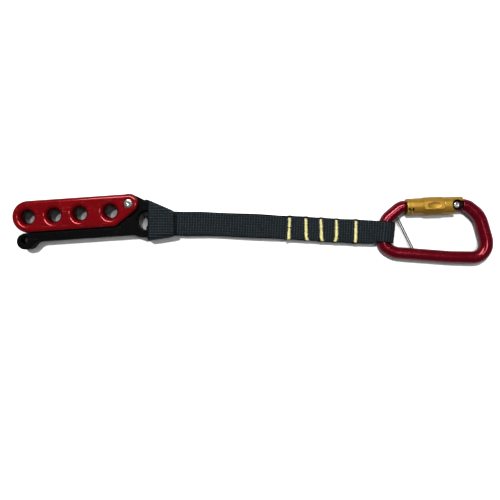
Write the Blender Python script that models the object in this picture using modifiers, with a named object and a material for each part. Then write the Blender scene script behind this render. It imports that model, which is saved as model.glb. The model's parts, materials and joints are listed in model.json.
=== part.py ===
"""Escape descender with a pivoting rope body, a sewn webbing tether and an auto-locking carabiner.

The assembly lies flat on its back: +Z points away from the resting plane, +X runs along the
tether from the pivot rivet to the carabiner. The origin is the pivot axis at the rear face.
Dimensions below are in millimetres and MM turns them into metres as each solid is made.
"""
import math

import bmesh
import bpy
from mathutils import Matrix, Vector

MM = 0.001
GAP = 0.3                       # clearance between neighbouring pieces
MID = 8.5                       # height of the middle plane of every rigid piece

# Descender: local u, v axes are turned by BODY_TILT about the pivot
BODY_TILT = 3.9                 # degrees
BODY_THICK = 17.0
BODY_LENGTH = 112.3             # pivot to the far round end
BODY_TOP = 9.4
BODY_BOTTOM = -21.3
PIVOT_END_R = 9.5
BODY_FLANK_ANGLE = -55.0        # degrees, outward normal of the sloping flank under the pivot
BODY_EDGE_R = 2.6
ROPE_HOLE_R = 5.6               # at the waist of the rounded hole
ROPE_HOLE_LIP = 5.0             # how much wider the hole is at each face
ROPE_HOLE_DEPTH = 8.2           # height of the rounding at each face
ROPE_HOLES_U = (-97.5, -72.2, -47.3, -18.0)
ROPE_HOLES_V = -6.4

TAB_R = 9.9
TAB_THICK = 8.0
SLOT_R = TAB_R + 0.4
SLOT_LEFT = -7.5                # where the clevis slot ends above the tab
SLOT_MARGIN = 0.35
ARM_THICK = 12.0
ARM_TOP = BODY_BOTTOM - 0.4
ARM_BOTTOM = -30.3
LOBE_R = 7.75
LOBE_U = -102.1
LOBE_HOLE_R = 3.4
LOBE_HOLE_RISE = 1.4            # the hole lies above the middle of the lobe
LOBE_THROAT = (-97.0, 7.0)      # u where the lobe's lower side turns up, and the bend radius
ARM_HEEL = (-91.0, 8.0)         # u where the arm's lower side starts, and the bend radius
ARM_TOE_U = 3.0
NECK_ANGLE = 60.0               # degrees, outward normal of the neck's sloping upper edge
THICK_FRAME_R = 13.5            # the frame is full thickness outside this distance from the pivot
BAR_RIGHT = 31.0
FRAME_LOW = -33.6
FRAME_LOW_U = 10.5
BAR_LEFT = 18.0                 # the bar under the webbing is thinner from here on
BAR_THICK = 7.6
WEB_HOLE_R = 9.3
WEB_HOLE_U = 16.0
WEB_HOLE_V = -17.0
WEB_HOLE_REACH = 1.5            # extra length of the webbing hole along u

RIVET_SHANK_R = 2.6
RIVET_HEAD_R = 4.1
RIVET_SEAT = 1.9                # depth of the seats for the rivet heads
BUSH_R = 3.9

# Webbing
WEB_WIDTH = 23.0
LAYER = 1.7
LAYER_PITCH = 2.05
STRAP_TILT = -2.7               # degrees
STRAP_START = (44.5, -18.7)     # where the strap leaves the hitch
HITCH_LEFT = 18.6
HITCH_TOP_LEFT = 3.6
HITCH_TOP_RIGHT = -7.6
HITCH_BOTTOM_LEFT = -35.2
HITCH_BOTTOM_RIGHT = -31.2
HITCH_WALL = 1.3
HITCH_FLEX_X = 46.8
SEWN_FLEX_X = 149.1
SEWN_START_X = 151.5
SEWN_END_X = 231.0
BARTACKS_X = (153.75, 169.95, 184.55, 199.35, 218.05)
BARTACK_WIDTH = 3.0
BARTACK_LENGTH = 20.4
THREAD = 0.6

# Carabiner: corner points and bend radii of the bar's centre line
STOCK_R = 6.0
LIMB_R = 6.6                    # the limb opposite the eye is wider than the rest of the bar
GATE_HINGE = (315.0, -1.15)
GATE_TILT = 1.6                 # degrees, the gate axis rises to the right
NOSE_LENGTH = 48.8              # hinge to the shoulder of the nose
TONGUE_SHOULDER = 6.5           # hinge to the shoulder behind the hinge tongue
LIMB_STARTS = (322.0, -57.0)    # the bar starts to widen right of this x and above this y
LIMB_FADE = 14.0
BACK_CORNER = (11.0, 10.5)      # behind the hinge on the gate axis, and its bend radius
NOSE_CORNER = (52.5, 10.0)      # ahead of the hinge on the gate axis, and its bend radius
BASKET_CORNERS = (
    (338.6, -11.6, 22.0),
    (345.3, -34.9, 24.0),
    (345.0, -52.1, 13.2),
    (311.0, -51.35, 120.0),
    (256.0, -47.2, 20.0),
    (244.9, -40.3, 7.5),
    (247.9, -15.1, 12.5),
)
EYE_CENTRE = (246.3, -28.6)
EYE_TILT = 6.8                  # degrees, the limb in the eye leans to the right
EYE_INNER = 6.85                # half height inside the eye
EYE_STRETCH = 1.0               # the eye is this much longer than high
EYE_SHIFT = 0.35
EYE_TRIM = 0.4
EYE_LOW_TRIM = 2.7              # the lower edge clears the bend of the bar
TONGUE_R = 5.0
TONGUE_HALF = 2.9
CHEEK_INNER = 3.25
FORK_LEFT = -5.4
FORK_END_R = 5.8
NOSE_TIP = 42.6
NOSE_TONGUE = (-2.2, 4.4)
NOSE_TONGUE_HALF = 1.9
GATE_THICK_R = 6.0
GATE_THIN_R = 5.0
GATE_STEP = 14.0
GATE_END = 48.2
GATE_RIVET_R = 2.1
GATE_RIVET_HEAD_R = 2.8
GATE_RIVET_TOP = 5.8            # half the rivet's length
PLUNGER_R = 1.5
PLUNGER_BORE_R = 1.85

SLEEVE_BORE_R = 6.6
SLEEVE_NARROW_R = 5.5
SLEEVE_STEP = 31.6
SLEEVE_NOSE_END = 47.7
SLEEVE_FRONT_R = 8.0
SLEEVE_GRIP_FLAT = 8.4
SLEEVE_BACK_R = 8.4
SLEEVE_GRIP = (12.1, 32.2)
SLEEVE_BACK_END = -6.5
SLEEVE_INNER_END = 1.5

WIRE_R = 0.65
WIRE_PITCH = 1.75
WIRE_TOP = (258.4, -12.0)
WIRE_FOOT = (274.9, -45.2)


# ---------------------------------------------------------------- outlines

def arc(centre, radius, start, end, step=12.0):
    """Points on an arc, angles in degrees, both ends included."""
    count = max(2, math.ceil(abs(end - start) / step))
    points = []
    for i in range(count + 1):
        angle = math.radians(start + (end - start) * i / count)
        points.append((centre[0] + radius * math.cos(angle), centre[1] + radius * math.sin(angle)))
    return points


def round_corner(before, corner, after, radius, step=12.0):
    """The arc that rounds one corner of a polygon."""
    here = Vector(corner)
    back = (Vector(before) - here).normalized()
    ahead = (Vector(after) - here).normalized()
    half = back.angle(ahead) / 2
    reach = radius / math.tan(half)
    centre = here + (back + ahead).normalized() * radius / math.sin(half)
    first = here + back * reach - centre
    last = here + ahead * reach - centre
    start = math.atan2(first.y, first.x)
    turn = math.atan2(first.x * last.y - first.y * last.x, first.dot(last))
    return arc(centre, radius, math.degrees(start), math.degrees(start + turn), step)


def rounded(corners, closed=True, step=12.0):
    """A polygon given as (x, y, radius) with each corner rounded; radius 0 keeps it sharp."""
    points = []
    count = len(corners)
    for i, (x, y, radius) in enumerate(corners):
        is_end = not closed and i in (0, count - 1)
        if radius == 0 or is_end:
            points.append((x, y))
            continue
        points += round_corner(corners[i - 1][:2], (x, y), corners[(i + 1) % count][:2], radius, step)
    return apart(points, closed)


def apart(points, closed=True, least=0.08):
    """Drop points that all but coincide with the one before."""
    kept = [points[0]]
    for point in points[1:]:
        if math.dist(point, kept[-1]) > least:
            kept.append(point)
    if closed and math.dist(kept[0], kept[-1]) <= least:
        kept.pop()
    return kept


def along_gate(s, side=0.0):
    """A point at distance s from the gate hinge towards the nose, and side mm outwards."""
    angle = math.radians(180 + GATE_TILT)
    x = GATE_HINGE[0] + s * math.cos(angle) - side * math.sin(math.radians(GATE_TILT))
    y = GATE_HINGE[1] + s * math.sin(angle) + side * math.cos(math.radians(GATE_TILT))
    return x, y


# ---------------------------------------------------------------- scene helpers

def clear_scene():
    for obj in list(bpy.data.objects):
        bpy.data.objects.remove(obj, do_unlink=True)


def new_collection(name):
    collection = bpy.data.collections.new(name)
    bpy.context.scene.collection.children.link(collection)
    return collection


def new_material(name, color, roughness, metallic=0.0):
    material = bpy.data.materials.new(name)
    material.use_nodes = True
    shader = material.node_tree.nodes["Principled BSDF"]
    shader.inputs["Base Color"].default_value = (*color, 1.0)
    shader.inputs["Roughness"].default_value = roughness
    shader.inputs["Metallic"].default_value = metallic
    return material


def new_axis(name, x, y, z=0.0, turn=0.0, parent=None):
    """An empty that carries the pieces of one joint."""
    axis = bpy.data.objects.new(name, None)
    axis.empty_display_size = 0.01
    axis.location = (x * MM, y * MM, z * MM)
    axis.rotation_euler = (0, 0, math.radians(turn))
    axis.parent = parent
    parts.objects.link(axis)
    return axis


def finish(obj, parent=None, material=None, cutter=False):
    """Link an object as a part or as a cutter."""
    if cutter:
        obj.hide_render = True
        obj.display_type = "WIRE"
        cutters.objects.link(obj)
    else:
        parts.objects.link(obj)
    if parent is not None:
        obj.parent = parent
    if material is not None:
        obj.data.materials.append(material)
    return obj


def from_bmesh(name, mesh_data, **options):
    mesh = bpy.data.meshes.new(name)
    bmesh.ops.recalc_face_normals(mesh_data, faces=mesh_data.faces)
    mesh_data.to_mesh(mesh)
    mesh_data.free()
    mesh.shade_smooth()
    mesh.set_sharp_from_angle(angle=math.radians(35))
    return finish(bpy.data.objects.new(name, mesh), **options)


def from_curve(name, curve, **options):
    """Turn a curve into a welded mesh object."""
    source = bpy.data.objects.new(name + "_curve", curve)
    bpy.context.scene.collection.objects.link(source)
    bpy.context.view_layer.update()
    evaluated = source.evaluated_get(bpy.context.evaluated_depsgraph_get())
    mesh = bpy.data.meshes.new_from_object(evaluated)
    bpy.data.objects.remove(source)
    mesh_data = bmesh.new()
    mesh_data.from_mesh(mesh)
    bpy.data.meshes.remove(mesh)
    bmesh.ops.remove_doubles(mesh_data, verts=mesh_data.verts, dist=1e-6)
    bmesh.ops.dissolve_limit(mesh_data, angle_limit=math.radians(0.1), verts=mesh_data.verts,
                             edges=mesh_data.edges)
    return from_bmesh(name, mesh_data, **options)


def slab(name, outlines, low, high, plane="XY", **options):
    """A flat outline, with any inner outlines as holes, extruded from low to high."""
    curve = bpy.data.curves.new(name, "CURVE")
    curve.dimensions = "2D"
    curve.fill_mode = "BOTH"
    curve.extrude = (high - low) / 2 * MM
    for outline in outlines:
        spline = curve.splines.new("POLY")
        spline.points.add(len(outline) - 1)
        spline.use_cyclic_u = True
        for point, (x, y) in zip(spline.points, outline):
            point.co = (x * MM, y * MM, 0, 1)
    obj = from_curve(name, curve, **options)
    lift = Matrix.Translation((0, 0, (low + high) / 2 * MM))
    obj.data.transform(lift)
    if plane == "XZ":
        obj.data.transform(Matrix.Rotation(math.radians(90), 4, "X"))
    return obj


def tube(name, points, radius, resolution=4, widths=None, **options):
    """A round bar along points (x, y, z); widths are optional factors of the radius."""
    curve = bpy.data.curves.new(name, "CURVE")
    curve.dimensions = "3D"
    curve.bevel_depth = radius * MM
    curve.bevel_resolution = resolution
    curve.use_fill_caps = True
    spline = curve.splines.new("POLY")
    spline.points.add(len(points) - 1)
    for point, (x, y, z), width in zip(spline.points, points, widths or [1.0] * len(points)):
        point.co = (x * MM, y * MM, z * MM, 1)
        point.radius = width
    return from_curve(name, curve, **options)


def cylinder(name, radius, start, end, segments=32, **options):
    """A cylinder from point start to point end."""
    start = Vector(start) * MM
    end = Vector(end) * MM
    mesh_data = bmesh.new()
    place = Matrix.Translation((start + end) / 2) @ (end - start).to_track_quat("Z", "Y").to_matrix().to_4x4()
    bmesh.ops.create_cone(mesh_data, cap_ends=True, segments=segments, radius1=radius * MM,
                          radius2=radius * MM, depth=(end - start).length, matrix=place)
    return from_bmesh(name, mesh_data, **options)


def box(name, low, high, **options):
    """A box between two corners."""
    low = Vector(low) * MM
    high = Vector(high) * MM
    size = high - low
    mesh_data = bmesh.new()
    middle = Matrix.Translation((low + high) / 2)
    bmesh.ops.create_cube(mesh_data, size=1.0, matrix=middle @ Matrix.Diagonal((*size, 1)))
    return from_bmesh(name, mesh_data, **options)


def turned(name, profile, segments=32, ring=False, **options):
    """A solid of revolution about local Z; the profile ends on the axis or, for a ring, closes."""
    mesh_data = bmesh.new()
    verts = [mesh_data.verts.new((radius * MM, 0, height * MM)) for radius, height in profile]
    for first, second in zip(verts, verts[1:]):
        mesh_data.edges.new((first, second))
    if ring:
        mesh_data.edges.new((verts[-1], verts[0]))
    obj = bpy.data.objects.new(name, bpy.data.meshes.new(name))
    mesh_data.to_mesh(obj.data)
    mesh_data.free()
    finish(obj, **options)
    screw = obj.modifiers.new("Turn", "SCREW")
    screw.axis = "Z"
    screw.steps = segments
    screw.render_steps = segments
    screw.use_merge_vertices = True
    screw.merge_threshold = 0.00001
    screw.use_smooth_shade = True
    return obj


def combine(obj, other, operation="DIFFERENCE"):
    """Add a Boolean that cuts or joins with another object."""
    boolean = obj.modifiers.new(other.name, "BOOLEAN")
    boolean.operation = operation
    boolean.solver = "EXACT"
    boolean.object = other
    return obj


def soften(obj, width, segments=2, angle=40.0):
    """Round the sharp edges of an object."""
    bevel = obj.modifiers.new("Soft edges", "BEVEL")
    bevel.width = width * MM
    bevel.segments = segments
    bevel.limit_method = "ANGLE"
    bevel.angle_limit = math.radians(angle)
    return obj


# ---------------------------------------------------------------- descender

def make_rope_body(axis):
    slope = math.radians(BODY_FLANK_ANGLE)
    flank_at_end = (PIVOT_END_R - PIVOT_END_R * math.cos(slope)) / math.sin(slope)
    flank_at_bottom = (PIVOT_END_R - BODY_BOTTOM * math.sin(slope)) / math.cos(slope)
    end_r = (BODY_TOP - BODY_BOTTOM) / 2 - 0.02
    outline = rounded((
        (-BODY_LENGTH, BODY_TOP, end_r),
        (-BODY_LENGTH, BODY_BOTTOM, end_r),
        (flank_at_bottom, BODY_BOTTOM, 8.0),
        (PIVOT_END_R, flank_at_end, PIVOT_END_R),
        (PIVOT_END_R, PIVOT_END_R, PIVOT_END_R),
    ))
    body = slab("rope_body", [outline], 0, BODY_THICK, parent=axis, material=red_anodise)
    soften(body, BODY_EDGE_R, 3)
    for number, u in enumerate(ROPE_HOLES_U, 1):
        lip = []
        for angle in (90, 72, 54, 36, 18, 0):
            turn = math.radians(angle)
            lip.append((ROPE_HOLE_R + ROPE_HOLE_LIP * (1 - math.cos(turn)),
                        BODY_THICK - ROPE_HOLE_DEPTH * (1 - math.sin(turn))))
        wide = ROPE_HOLE_R + ROPE_HOLE_LIP
        profile = [(0, BODY_THICK + 1), (wide, BODY_THICK + 1)] + lip
        profile += [(r, BODY_THICK - z) for r, z in reversed(lip)]
        profile += [(wide, -1), (0, -1)]
        hole = turned(f"cut_rope_hole_{number}", profile, 28, parent=axis, cutter=True)
        hole.location = (u * MM, ROPE_HOLES_V * MM, 0)
        combine(body, hole)
    low = math.degrees(math.asin(-2 / SLOT_R))
    high = -360 + math.degrees(math.acos(SLOT_LEFT / SLOT_R))
    slot_outline = [(SLOT_LEFT, 12), (12, 12), (12, -2)] + arc((0, 0), SLOT_R, low, high)
    half = TAB_THICK / 2 + SLOT_MARGIN
    slot = slab("cut_clevis_slot", [slot_outline], MID - half, MID + half, parent=axis, cutter=True)
    combine(body, slot)
    bore = cylinder("cut_body_bore", RIVET_SHANK_R + GAP, (0, 0, -1), (0, 0, 18), 24, parent=axis,
                    cutter=True)
    combine(body, bore)
    for name, low, high in (("front", BODY_THICK - RIVET_SEAT, 18), ("rear", -1, RIVET_SEAT)):
        seat = cylinder(f"cut_head_seat_{name}", RIVET_HEAD_R + GAP, (0, 0, low), (0, 0, high), 28,
                        parent=axis, cutter=True)
        combine(body, seat)


def make_cam_frame(axis):
    inner = math.radians(BODY_FLANK_ANGLE)
    inner_at_arm = (TAB_R - ARM_TOP * math.sin(inner)) / math.cos(inner)
    neck = math.radians(NECK_ANGLE)
    neck_at_right = (TAB_R - BAR_RIGHT * math.cos(neck)) / math.sin(neck)
    lobe_left = LOBE_U - LOBE_R
    lobe_low = ARM_TOP - 2 * LOBE_R
    tab = arc((0, 0), TAB_R, NECK_ANGLE, 360 + BODY_FLANK_ANGLE)
    rest = rounded((
        (*tab[-1], 0),
        (inner_at_arm, ARM_TOP, 8.4),
        (lobe_left, ARM_TOP, LOBE_R),
        (lobe_left, lobe_low, LOBE_R),
        (LOBE_THROAT[0], lobe_low, LOBE_THROAT[1]),
        (ARM_HEEL[0], ARM_BOTTOM, ARM_HEEL[1]),
        (ARM_TOE_U, ARM_BOTTOM, 8.0),
        (FRAME_LOW_U, FRAME_LOW, 10.0),
        (BAR_RIGHT, FRAME_LOW + 2.6, 7.0),
        (BAR_RIGHT, neck_at_right, 6.0),
        (*tab[0], 0),
    ), closed=False)
    outline = apart(tab + rest[1:-1])
    window = rounded((
        (WEB_HOLE_U - WEB_HOLE_R, WEB_HOLE_V - WEB_HOLE_R, WEB_HOLE_R - 0.05),
        (WEB_HOLE_U + WEB_HOLE_REACH + WEB_HOLE_R, WEB_HOLE_V - WEB_HOLE_R, 1.0),
        (WEB_HOLE_U + WEB_HOLE_REACH + WEB_HOLE_R, WEB_HOLE_V + WEB_HOLE_R, 1.0),
        (WEB_HOLE_U - WEB_HOLE_R, WEB_HOLE_V + WEB_HOLE_R, WEB_HOLE_R - 0.05),
    ))
    eye = arc((LOBE_U, ARM_TOP - LOBE_R + LOBE_HOLE_RISE), LOBE_HOLE_R, 0, 345, 15)
    low = MID - ARM_THICK / 2
    high = MID + ARM_THICK / 2
    frame = slab("cam_frame", [outline], low, high, parent=axis, material=black_anodise)
    soften(frame, 1.2)
    for name, opening in (("webbing_window", window), ("lobe_eye", eye)):
        combine(frame, slab("cut_" + name, [opening], low - 2, high + 2, parent=axis, cutter=True))
    half = TAB_THICK / 2
    bar_half = BAR_THICK / 2
    for side, inner_z, bar_z, outer_z in (("front", MID + half, MID + bar_half, high + 2),
                                          ("rear", MID - half, MID - bar_half, low - 2)):
        relief = cylinder(f"cut_tab_{side}", THICK_FRAME_R, (0, 0, inner_z), (0, 0, outer_z), 40,
                          parent=axis, cutter=True)
        combine(frame, relief)
        bar = box(f"cut_bar_{side}", (BAR_LEFT, -45, min(bar_z, outer_z)), (45, 20, max(bar_z, outer_z)),
                  parent=axis, cutter=True)
        combine(frame, bar)
    bore = cylinder("cut_tab_bore", BUSH_R + GAP, (0, 0, 0), (0, 0, 17), 28, parent=axis, cutter=True)
    combine(frame, bore)


def make_pivot(axis):
    head = RIVET_HEAD_R
    profile = [(0, BODY_THICK), (1.0, BODY_THICK - 0.1), (head - 0.4, BODY_THICK - 0.1),
               (head, BODY_THICK - 0.5), (head, BODY_THICK - 1.6), (RIVET_SHANK_R, BODY_THICK - 1.6),
               (RIVET_SHANK_R, 1.6), (head, 1.6), (head, 0.4), (head - 0.4, 0), (0, 0)]
    turned("pivot_rivet", profile, 28, parent=axis, material=steel)
    half = TAB_THICK / 2
    inner = RIVET_SHANK_R + GAP
    wall = [(inner, MID + half), (BUSH_R, MID + half), (BUSH_R, MID - half), (inner, MID - half)]
    turned("pivot_bush", wall, 28, ring=True, parent=axis, material=bronze)


# ---------------------------------------------------------------- webbing

def strap_point(x):
    """The strap's centre line in plan."""
    return STRAP_START[1] + (x - STRAP_START[0]) * math.tan(math.radians(STRAP_TILT))


def make_hitch():
    """The bight that crosses the bar, and the doubled webbing wrapped round the bar."""
    top = 17.0
    bight = [(HITCH_LEFT, HITCH_TOP_LEFT), (HITCH_LEFT, HITCH_BOTTOM_LEFT),
             (STRAP_START[0], HITCH_BOTTOM_RIGHT), (STRAP_START[0], HITCH_TOP_RIGHT)]
    piece = slab("hitch_bight", [bight], 3.0, top, material=webbing)
    soften(piece, 1.2)
    length = STRAP_START[0] - HITCH_LEFT
    overrun = 3.0
    top_rise = (HITCH_TOP_RIGHT - HITCH_TOP_LEFT) / length * overrun
    low_rise = (HITCH_BOTTOM_RIGHT - HITCH_BOTTOM_LEFT) / length * overrun
    left = HITCH_LEFT - overrun
    right = STRAP_START[0] + overrun
    tunnel_outline = [(left, HITCH_TOP_LEFT - top_rise - HITCH_WALL),
                      (left, HITCH_BOTTOM_LEFT - low_rise + HITCH_WALL),
                      (right, HITCH_BOTTOM_RIGHT + low_rise + HITCH_WALL),
                      (right, HITCH_TOP_RIGHT + top_rise - HITCH_WALL)]
    tunnel = slab("cut_hitch_tunnel", [tunnel_outline], 1.0, top - LAYER, cutter=True)
    combine(piece, tunnel)

    hook = new_axis("hitch_axis", 0, 0, 0, BODY_TILT)
    bar_left = WEB_HOLE_U + WEB_HOLE_REACH + WEB_HOLE_R
    bar_half = BAR_THICK / 2
    low = MID - bar_half - GAP
    high = MID + bar_half + GAP
    profile = rounded((
        (35.0, high, 0), (35.0, high + LAYER, 0), (bar_left - GAP - LAYER, high + 2.2, 2.0),
        (bar_left - GAP - LAYER, low - LAYER, 2.0), (BAR_RIGHT + GAP + LAYER, low - LAYER, 2.0),
        (BAR_RIGHT + GAP + LAYER, MID + 1, 0), (BAR_RIGHT + GAP, MID + 1, 0),
        (BAR_RIGHT + GAP, low, 0), (bar_left - GAP, low, 0), (bar_left - GAP, high, 0),
    ))
    wrap = slab("hitch_wrap", [profile], -8.5, 8.5, plane="XZ", parent=hook, material=webbing)
    wrap.location = (0, WEB_HOLE_V * MM, 0)


def make_tether():
    """Two plain layers, then three sewn layers with bartacks, ending in the carabiner eye."""
    tilt = math.radians(STRAP_TILT)
    half = WEB_WIDTH / 2
    flex = new_axis("tether_axis", HITCH_FLEX_X, strap_point(HITCH_FLEX_X), MID, STRAP_TILT)
    start = 0.9
    end = (SEWN_FLEX_X - 2.0 - HITCH_FLEX_X) / math.cos(tilt)
    for name, level in (("tether_leg_front", 0.5), ("tether_leg_rear", -0.5)):
        centre = level * LAYER_PITCH
        box(name, (start, -half, centre - LAYER / 2), (end, half, centre + LAYER / 2), parent=flex,
            material=webbing)

    sewn = new_axis("sewn_axis", SEWN_FLEX_X, strap_point(SEWN_FLEX_X), MID, STRAP_TILT)
    first = (SEWN_START_X - SEWN_FLEX_X) / math.cos(tilt)
    last = (SEWN_END_X - SEWN_FLEX_X) / math.cos(tilt)
    layers = []
    for name, level in (("sewn_tail", 1), ("sewn_middle", 0), ("sewn_rear", -1)):
        centre = level * LAYER_PITCH
        layers.append(box(name, (first, -half, centre - LAYER / 2), (last, half, centre + LAYER / 2),
                          parent=sewn, material=webbing))
    top = LAYER_PITCH + LAYER / 2 + GAP
    reach = BARTACK_LENGTH / 2
    for number, x in enumerate(BARTACKS_X, 1):
        at = (x - SEWN_FLEX_X) / math.cos(tilt)
        slit = box(f"cut_stitch_{number}", (at - THREAD / 2 - GAP, -reach + 1, -top - 1),
                   (at + THREAD / 2 + GAP, reach - 1, top + 1), parent=sewn, cutter=True)
        for layer in layers:
            combine(layer, slit)
        half_bar = BARTACK_WIDTH / 2
        tack = box(f"bartack_{number}", (at - THREAD / 2, -reach + 1.3, -top - THREAD / 2),
                   (at + THREAD / 2, reach - 1.3, top + THREAD / 2), parent=sewn, material=thread)
        for side, face in (("front", top + THREAD / 2), ("rear", -top - THREAD / 2)):
            bar = box(f"join_{side}_bar_{number}", (at - half_bar, -reach, face - THREAD / 2),
                      (at + half_bar, reach, face + THREAD / 2), parent=sewn, cutter=True)
            combine(tack, bar, "UNION")


def oval(height, start, end):
    """An arc of the eye's cross-section, a little longer along the strap than high."""
    return [(x * (height + EYE_STRETCH) / height + EYE_SHIFT, z) for x, z in arc((0, 0), height, start, end)]


def make_eye():
    """The small eye round the carabiner, a teardrop ring along the limb it holds."""
    eye = new_axis("eye_axis", *EYE_CENTRE, MID, -EYE_TILT)
    inner = EYE_INNER
    outer = EYE_INNER + LAYER
    root = (SEWN_END_X + 0.6 - EYE_CENTRE[0])
    neck = LAYER_PITCH + LAYER / 2
    outer_ring = oval(outer, -105, 105) + [(root, neck), (root, -neck)]
    throat = root + 3.0
    opening = math.degrees(math.acos(inner / throat))
    inner_ring = oval(inner, -opening, opening) + [(throat, 0)]
    reach = WEB_WIDTH / 2 - EYE_TRIM
    slab("tether_eye", [outer_ring, inner_ring], -reach, reach - EYE_LOW_TRIM, plane="XZ", parent=eye,
         material=webbing)


# ---------------------------------------------------------------- carabiner

def ease(value):
    value = min(max(value, 0.0), 1.0)
    return value * value * (3 - 2 * value)


def bar_width(x, y):
    """The bar's radius at a point of its centre line, over the stock radius."""
    share = ease((x - LIMB_STARTS[0]) / LIMB_FADE) * ease((y - LIMB_STARTS[1]) / LIMB_FADE)
    return 1 + (LIMB_R / STOCK_R - 1) * share


def make_carabiner_frame():
    hinge_shoulder = along_gate(-TONGUE_SHOULDER)
    nose_shoulder = along_gate(NOSE_LENGTH)
    back = (*along_gate(-BACK_CORNER[0]), BACK_CORNER[1])
    front = (*along_gate(NOSE_CORNER[0]), NOSE_CORNER[1])
    corners = ((*hinge_shoulder, 0), back, *BASKET_CORNERS, front, (*nose_shoulder, 0))
    path = rounded(corners, closed=False, step=9)
    frame = tube("carabiner_frame", [(x, y, MID) for x, y in path], STOCK_R, resolution=5,
                 widths=[bar_width(x, y) for x, y in path], material=carabiner_red)
    tongue = slab("join_hinge_tongue", [arc((0, 0), TONGUE_R, 90, 270) + [(9, -TONGUE_R), (9, TONGUE_R)]],
                  MID - TONGUE_HALF, MID + TONGUE_HALF, cutter=True)
    tongue.location = (GATE_HINGE[0] * MM, GATE_HINGE[1] * MM, 0)
    tongue.rotation_euler = (0, 0, math.radians(GATE_TILT))
    combine(frame, tongue, "UNION")
    low, high = NOSE_TONGUE
    root = -NOSE_LENGTH - 4
    nose_outline = rounded(((root, low, 0), (-NOSE_TIP, low, 1.2), (-NOSE_TIP, high, 1.2), (root, high, 0)))
    nose = slab("join_nose_tongue", [nose_outline], MID - NOSE_TONGUE_HALF, MID + NOSE_TONGUE_HALF,
                cutter=True)
    nose.location = (GATE_HINGE[0] * MM, GATE_HINGE[1] * MM, 0)
    nose.rotation_euler = (0, 0, math.radians(GATE_TILT))
    combine(frame, nose, "UNION")
    bore = cylinder("cut_hinge_bore", GATE_RIVET_R + GAP, (*GATE_HINGE, 0), (*GATE_HINGE, 17), 20,
                    cutter=True)
    combine(frame, bore)
    for name, point in (("top", WIRE_TOP), ("foot", WIRE_FOOT)):
        combine(frame, wire_socket(name, point))


def wire_direction():
    return (Vector(WIRE_FOOT) - Vector(WIRE_TOP)).normalized()


def wire_socket(name, point):
    """The slot in the bar that takes one end of the captive wire."""
    along = wire_direction()
    turn = math.degrees(math.atan2(along.y, along.x))
    half_wide = WIRE_PITCH / 2 + WIRE_R + GAP
    half_high = WIRE_R + GAP
    if name == "top":
        low, high = -0.4 - WIRE_R, 9.0
    else:
        low, high = -9.0, 0.4 + WIRE_R
    socket = box(f"cut_wire_{name}", (low, -half_wide, -half_high), (high, half_wide, half_high), cutter=True)
    socket.location = (point[0] * MM, point[1] * MM, MID * MM)
    socket.rotation_euler = (0, 0, math.radians(turn))
    return socket


def make_captive_wire():
    """A hairpin of two strands across the basket that keeps the eye in place."""
    along = wire_direction()
    across = Vector((-along.y, along.x)) * WIRE_PITCH / 2
    top = Vector(WIRE_TOP) + along * WIRE_R
    foot = Vector(WIRE_FOOT)
    points = [foot + across, top + along * 0.9 + across]
    for angle in (45, 90, 135):
        turn = math.radians(angle)
        points.append(top + along * 0.9 + across * math.cos(turn) - along * math.sin(turn) * WIRE_PITCH / 2)
    points += [top + along * 0.9 - across, foot - across]
    tube("captive_wire", [(p.x, p.y, MID) for p in points], WIRE_R, resolution=2, material=steel)


def make_gate(axis):
    """The gate shaft; local X runs from the hinge away from the nose, so the nose is at -X."""
    shaft_profile = [(0, GATE_END), (GATE_THIN_R - 0.5, GATE_END), (GATE_THIN_R, GATE_END - 0.5),
                     (GATE_THIN_R, GATE_STEP), (GATE_THICK_R, GATE_STEP), (GATE_THICK_R, -8), (0, -8)]
    gate = turned("gate", shaft_profile, 32, parent=axis, material=gate_alloy)
    gate.rotation_euler = (0, math.radians(-90), 0)
    fork = slab("cut_fork", [[(FORK_LEFT, -8), (12, -8), (12, 8), (FORK_LEFT, 8)]], -CHEEK_INNER, CHEEK_INNER,
                parent=axis, cutter=True)
    combine(gate, fork)
    end_outline = [(0, -12), (12, -12), (12, 12), (0, 12)] + arc((0, 0), FORK_END_R, 90, -90)
    end_trim = slab("cut_fork_end", [end_outline], -9, 9, parent=axis, cutter=True)
    combine(gate, end_trim)
    low = NOSE_TONGUE[0] - GAP - 0.1
    slot = box("cut_nose_slot", (-GATE_END - 2, low, -NOSE_TONGUE_HALF - GAP),
               (-NOSE_TIP + 1.3, 9, NOSE_TONGUE_HALF + GAP), parent=axis, cutter=True)
    combine(gate, slot)
    combine(gate, cylinder("cut_gate_rivet", GATE_RIVET_R + 0.15, (0, 0, -9), (0, 0, 9), 20,
                           parent=axis, cutter=True))
    seat = GATE_RIVET_TOP - 0.8 - 0.2
    for name, low, high in (("front", seat, 9), ("rear", -9, -seat)):
        combine(gate, cylinder(f"cut_rivet_seat_{name}", GATE_RIVET_HEAD_R + GAP, (0, 0, low), (0, 0, high),
                               24, parent=axis, cutter=True))
    combine(gate, cylinder("cut_plunger_bore", PLUNGER_BORE_R, (-24, 0, 0), (0, 0, 0), 16,
                           parent=axis, cutter=True))


def make_gate_rivet(axis):
    top = GATE_RIVET_TOP
    head = GATE_RIVET_HEAD_R
    under = top - 0.8
    profile = [(0, top - 0.5), (0.9, top - 0.5), (1.2, top), (head - 0.3, top), (head, top - 0.3),
               (head, under), (GATE_RIVET_R, under), (GATE_RIVET_R, -under), (head, -under),
               (head, 0.3 - top), (head - 0.3, -top), (0, -top)]
    turned("gate_rivet", profile, 20, parent=axis, material=steel)


def coil(name, start, end, mean_r, wire_r, turns, per_turn, **options):
    """A compression spring along local -X with closed ends."""
    steps = turns * per_turn
    points = []
    for i in range(steps + 1):
        share = i / steps
        eased = share - 0.35 * math.sin(2 * math.pi * share) / (2 * math.pi)
        angle = 2 * math.pi * i / per_turn
        points.append((-(start + (end - start) * eased), mean_r * math.cos(angle), mean_r * math.sin(angle)))
    return tube(name, points, wire_r, resolution=1, **options)


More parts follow.
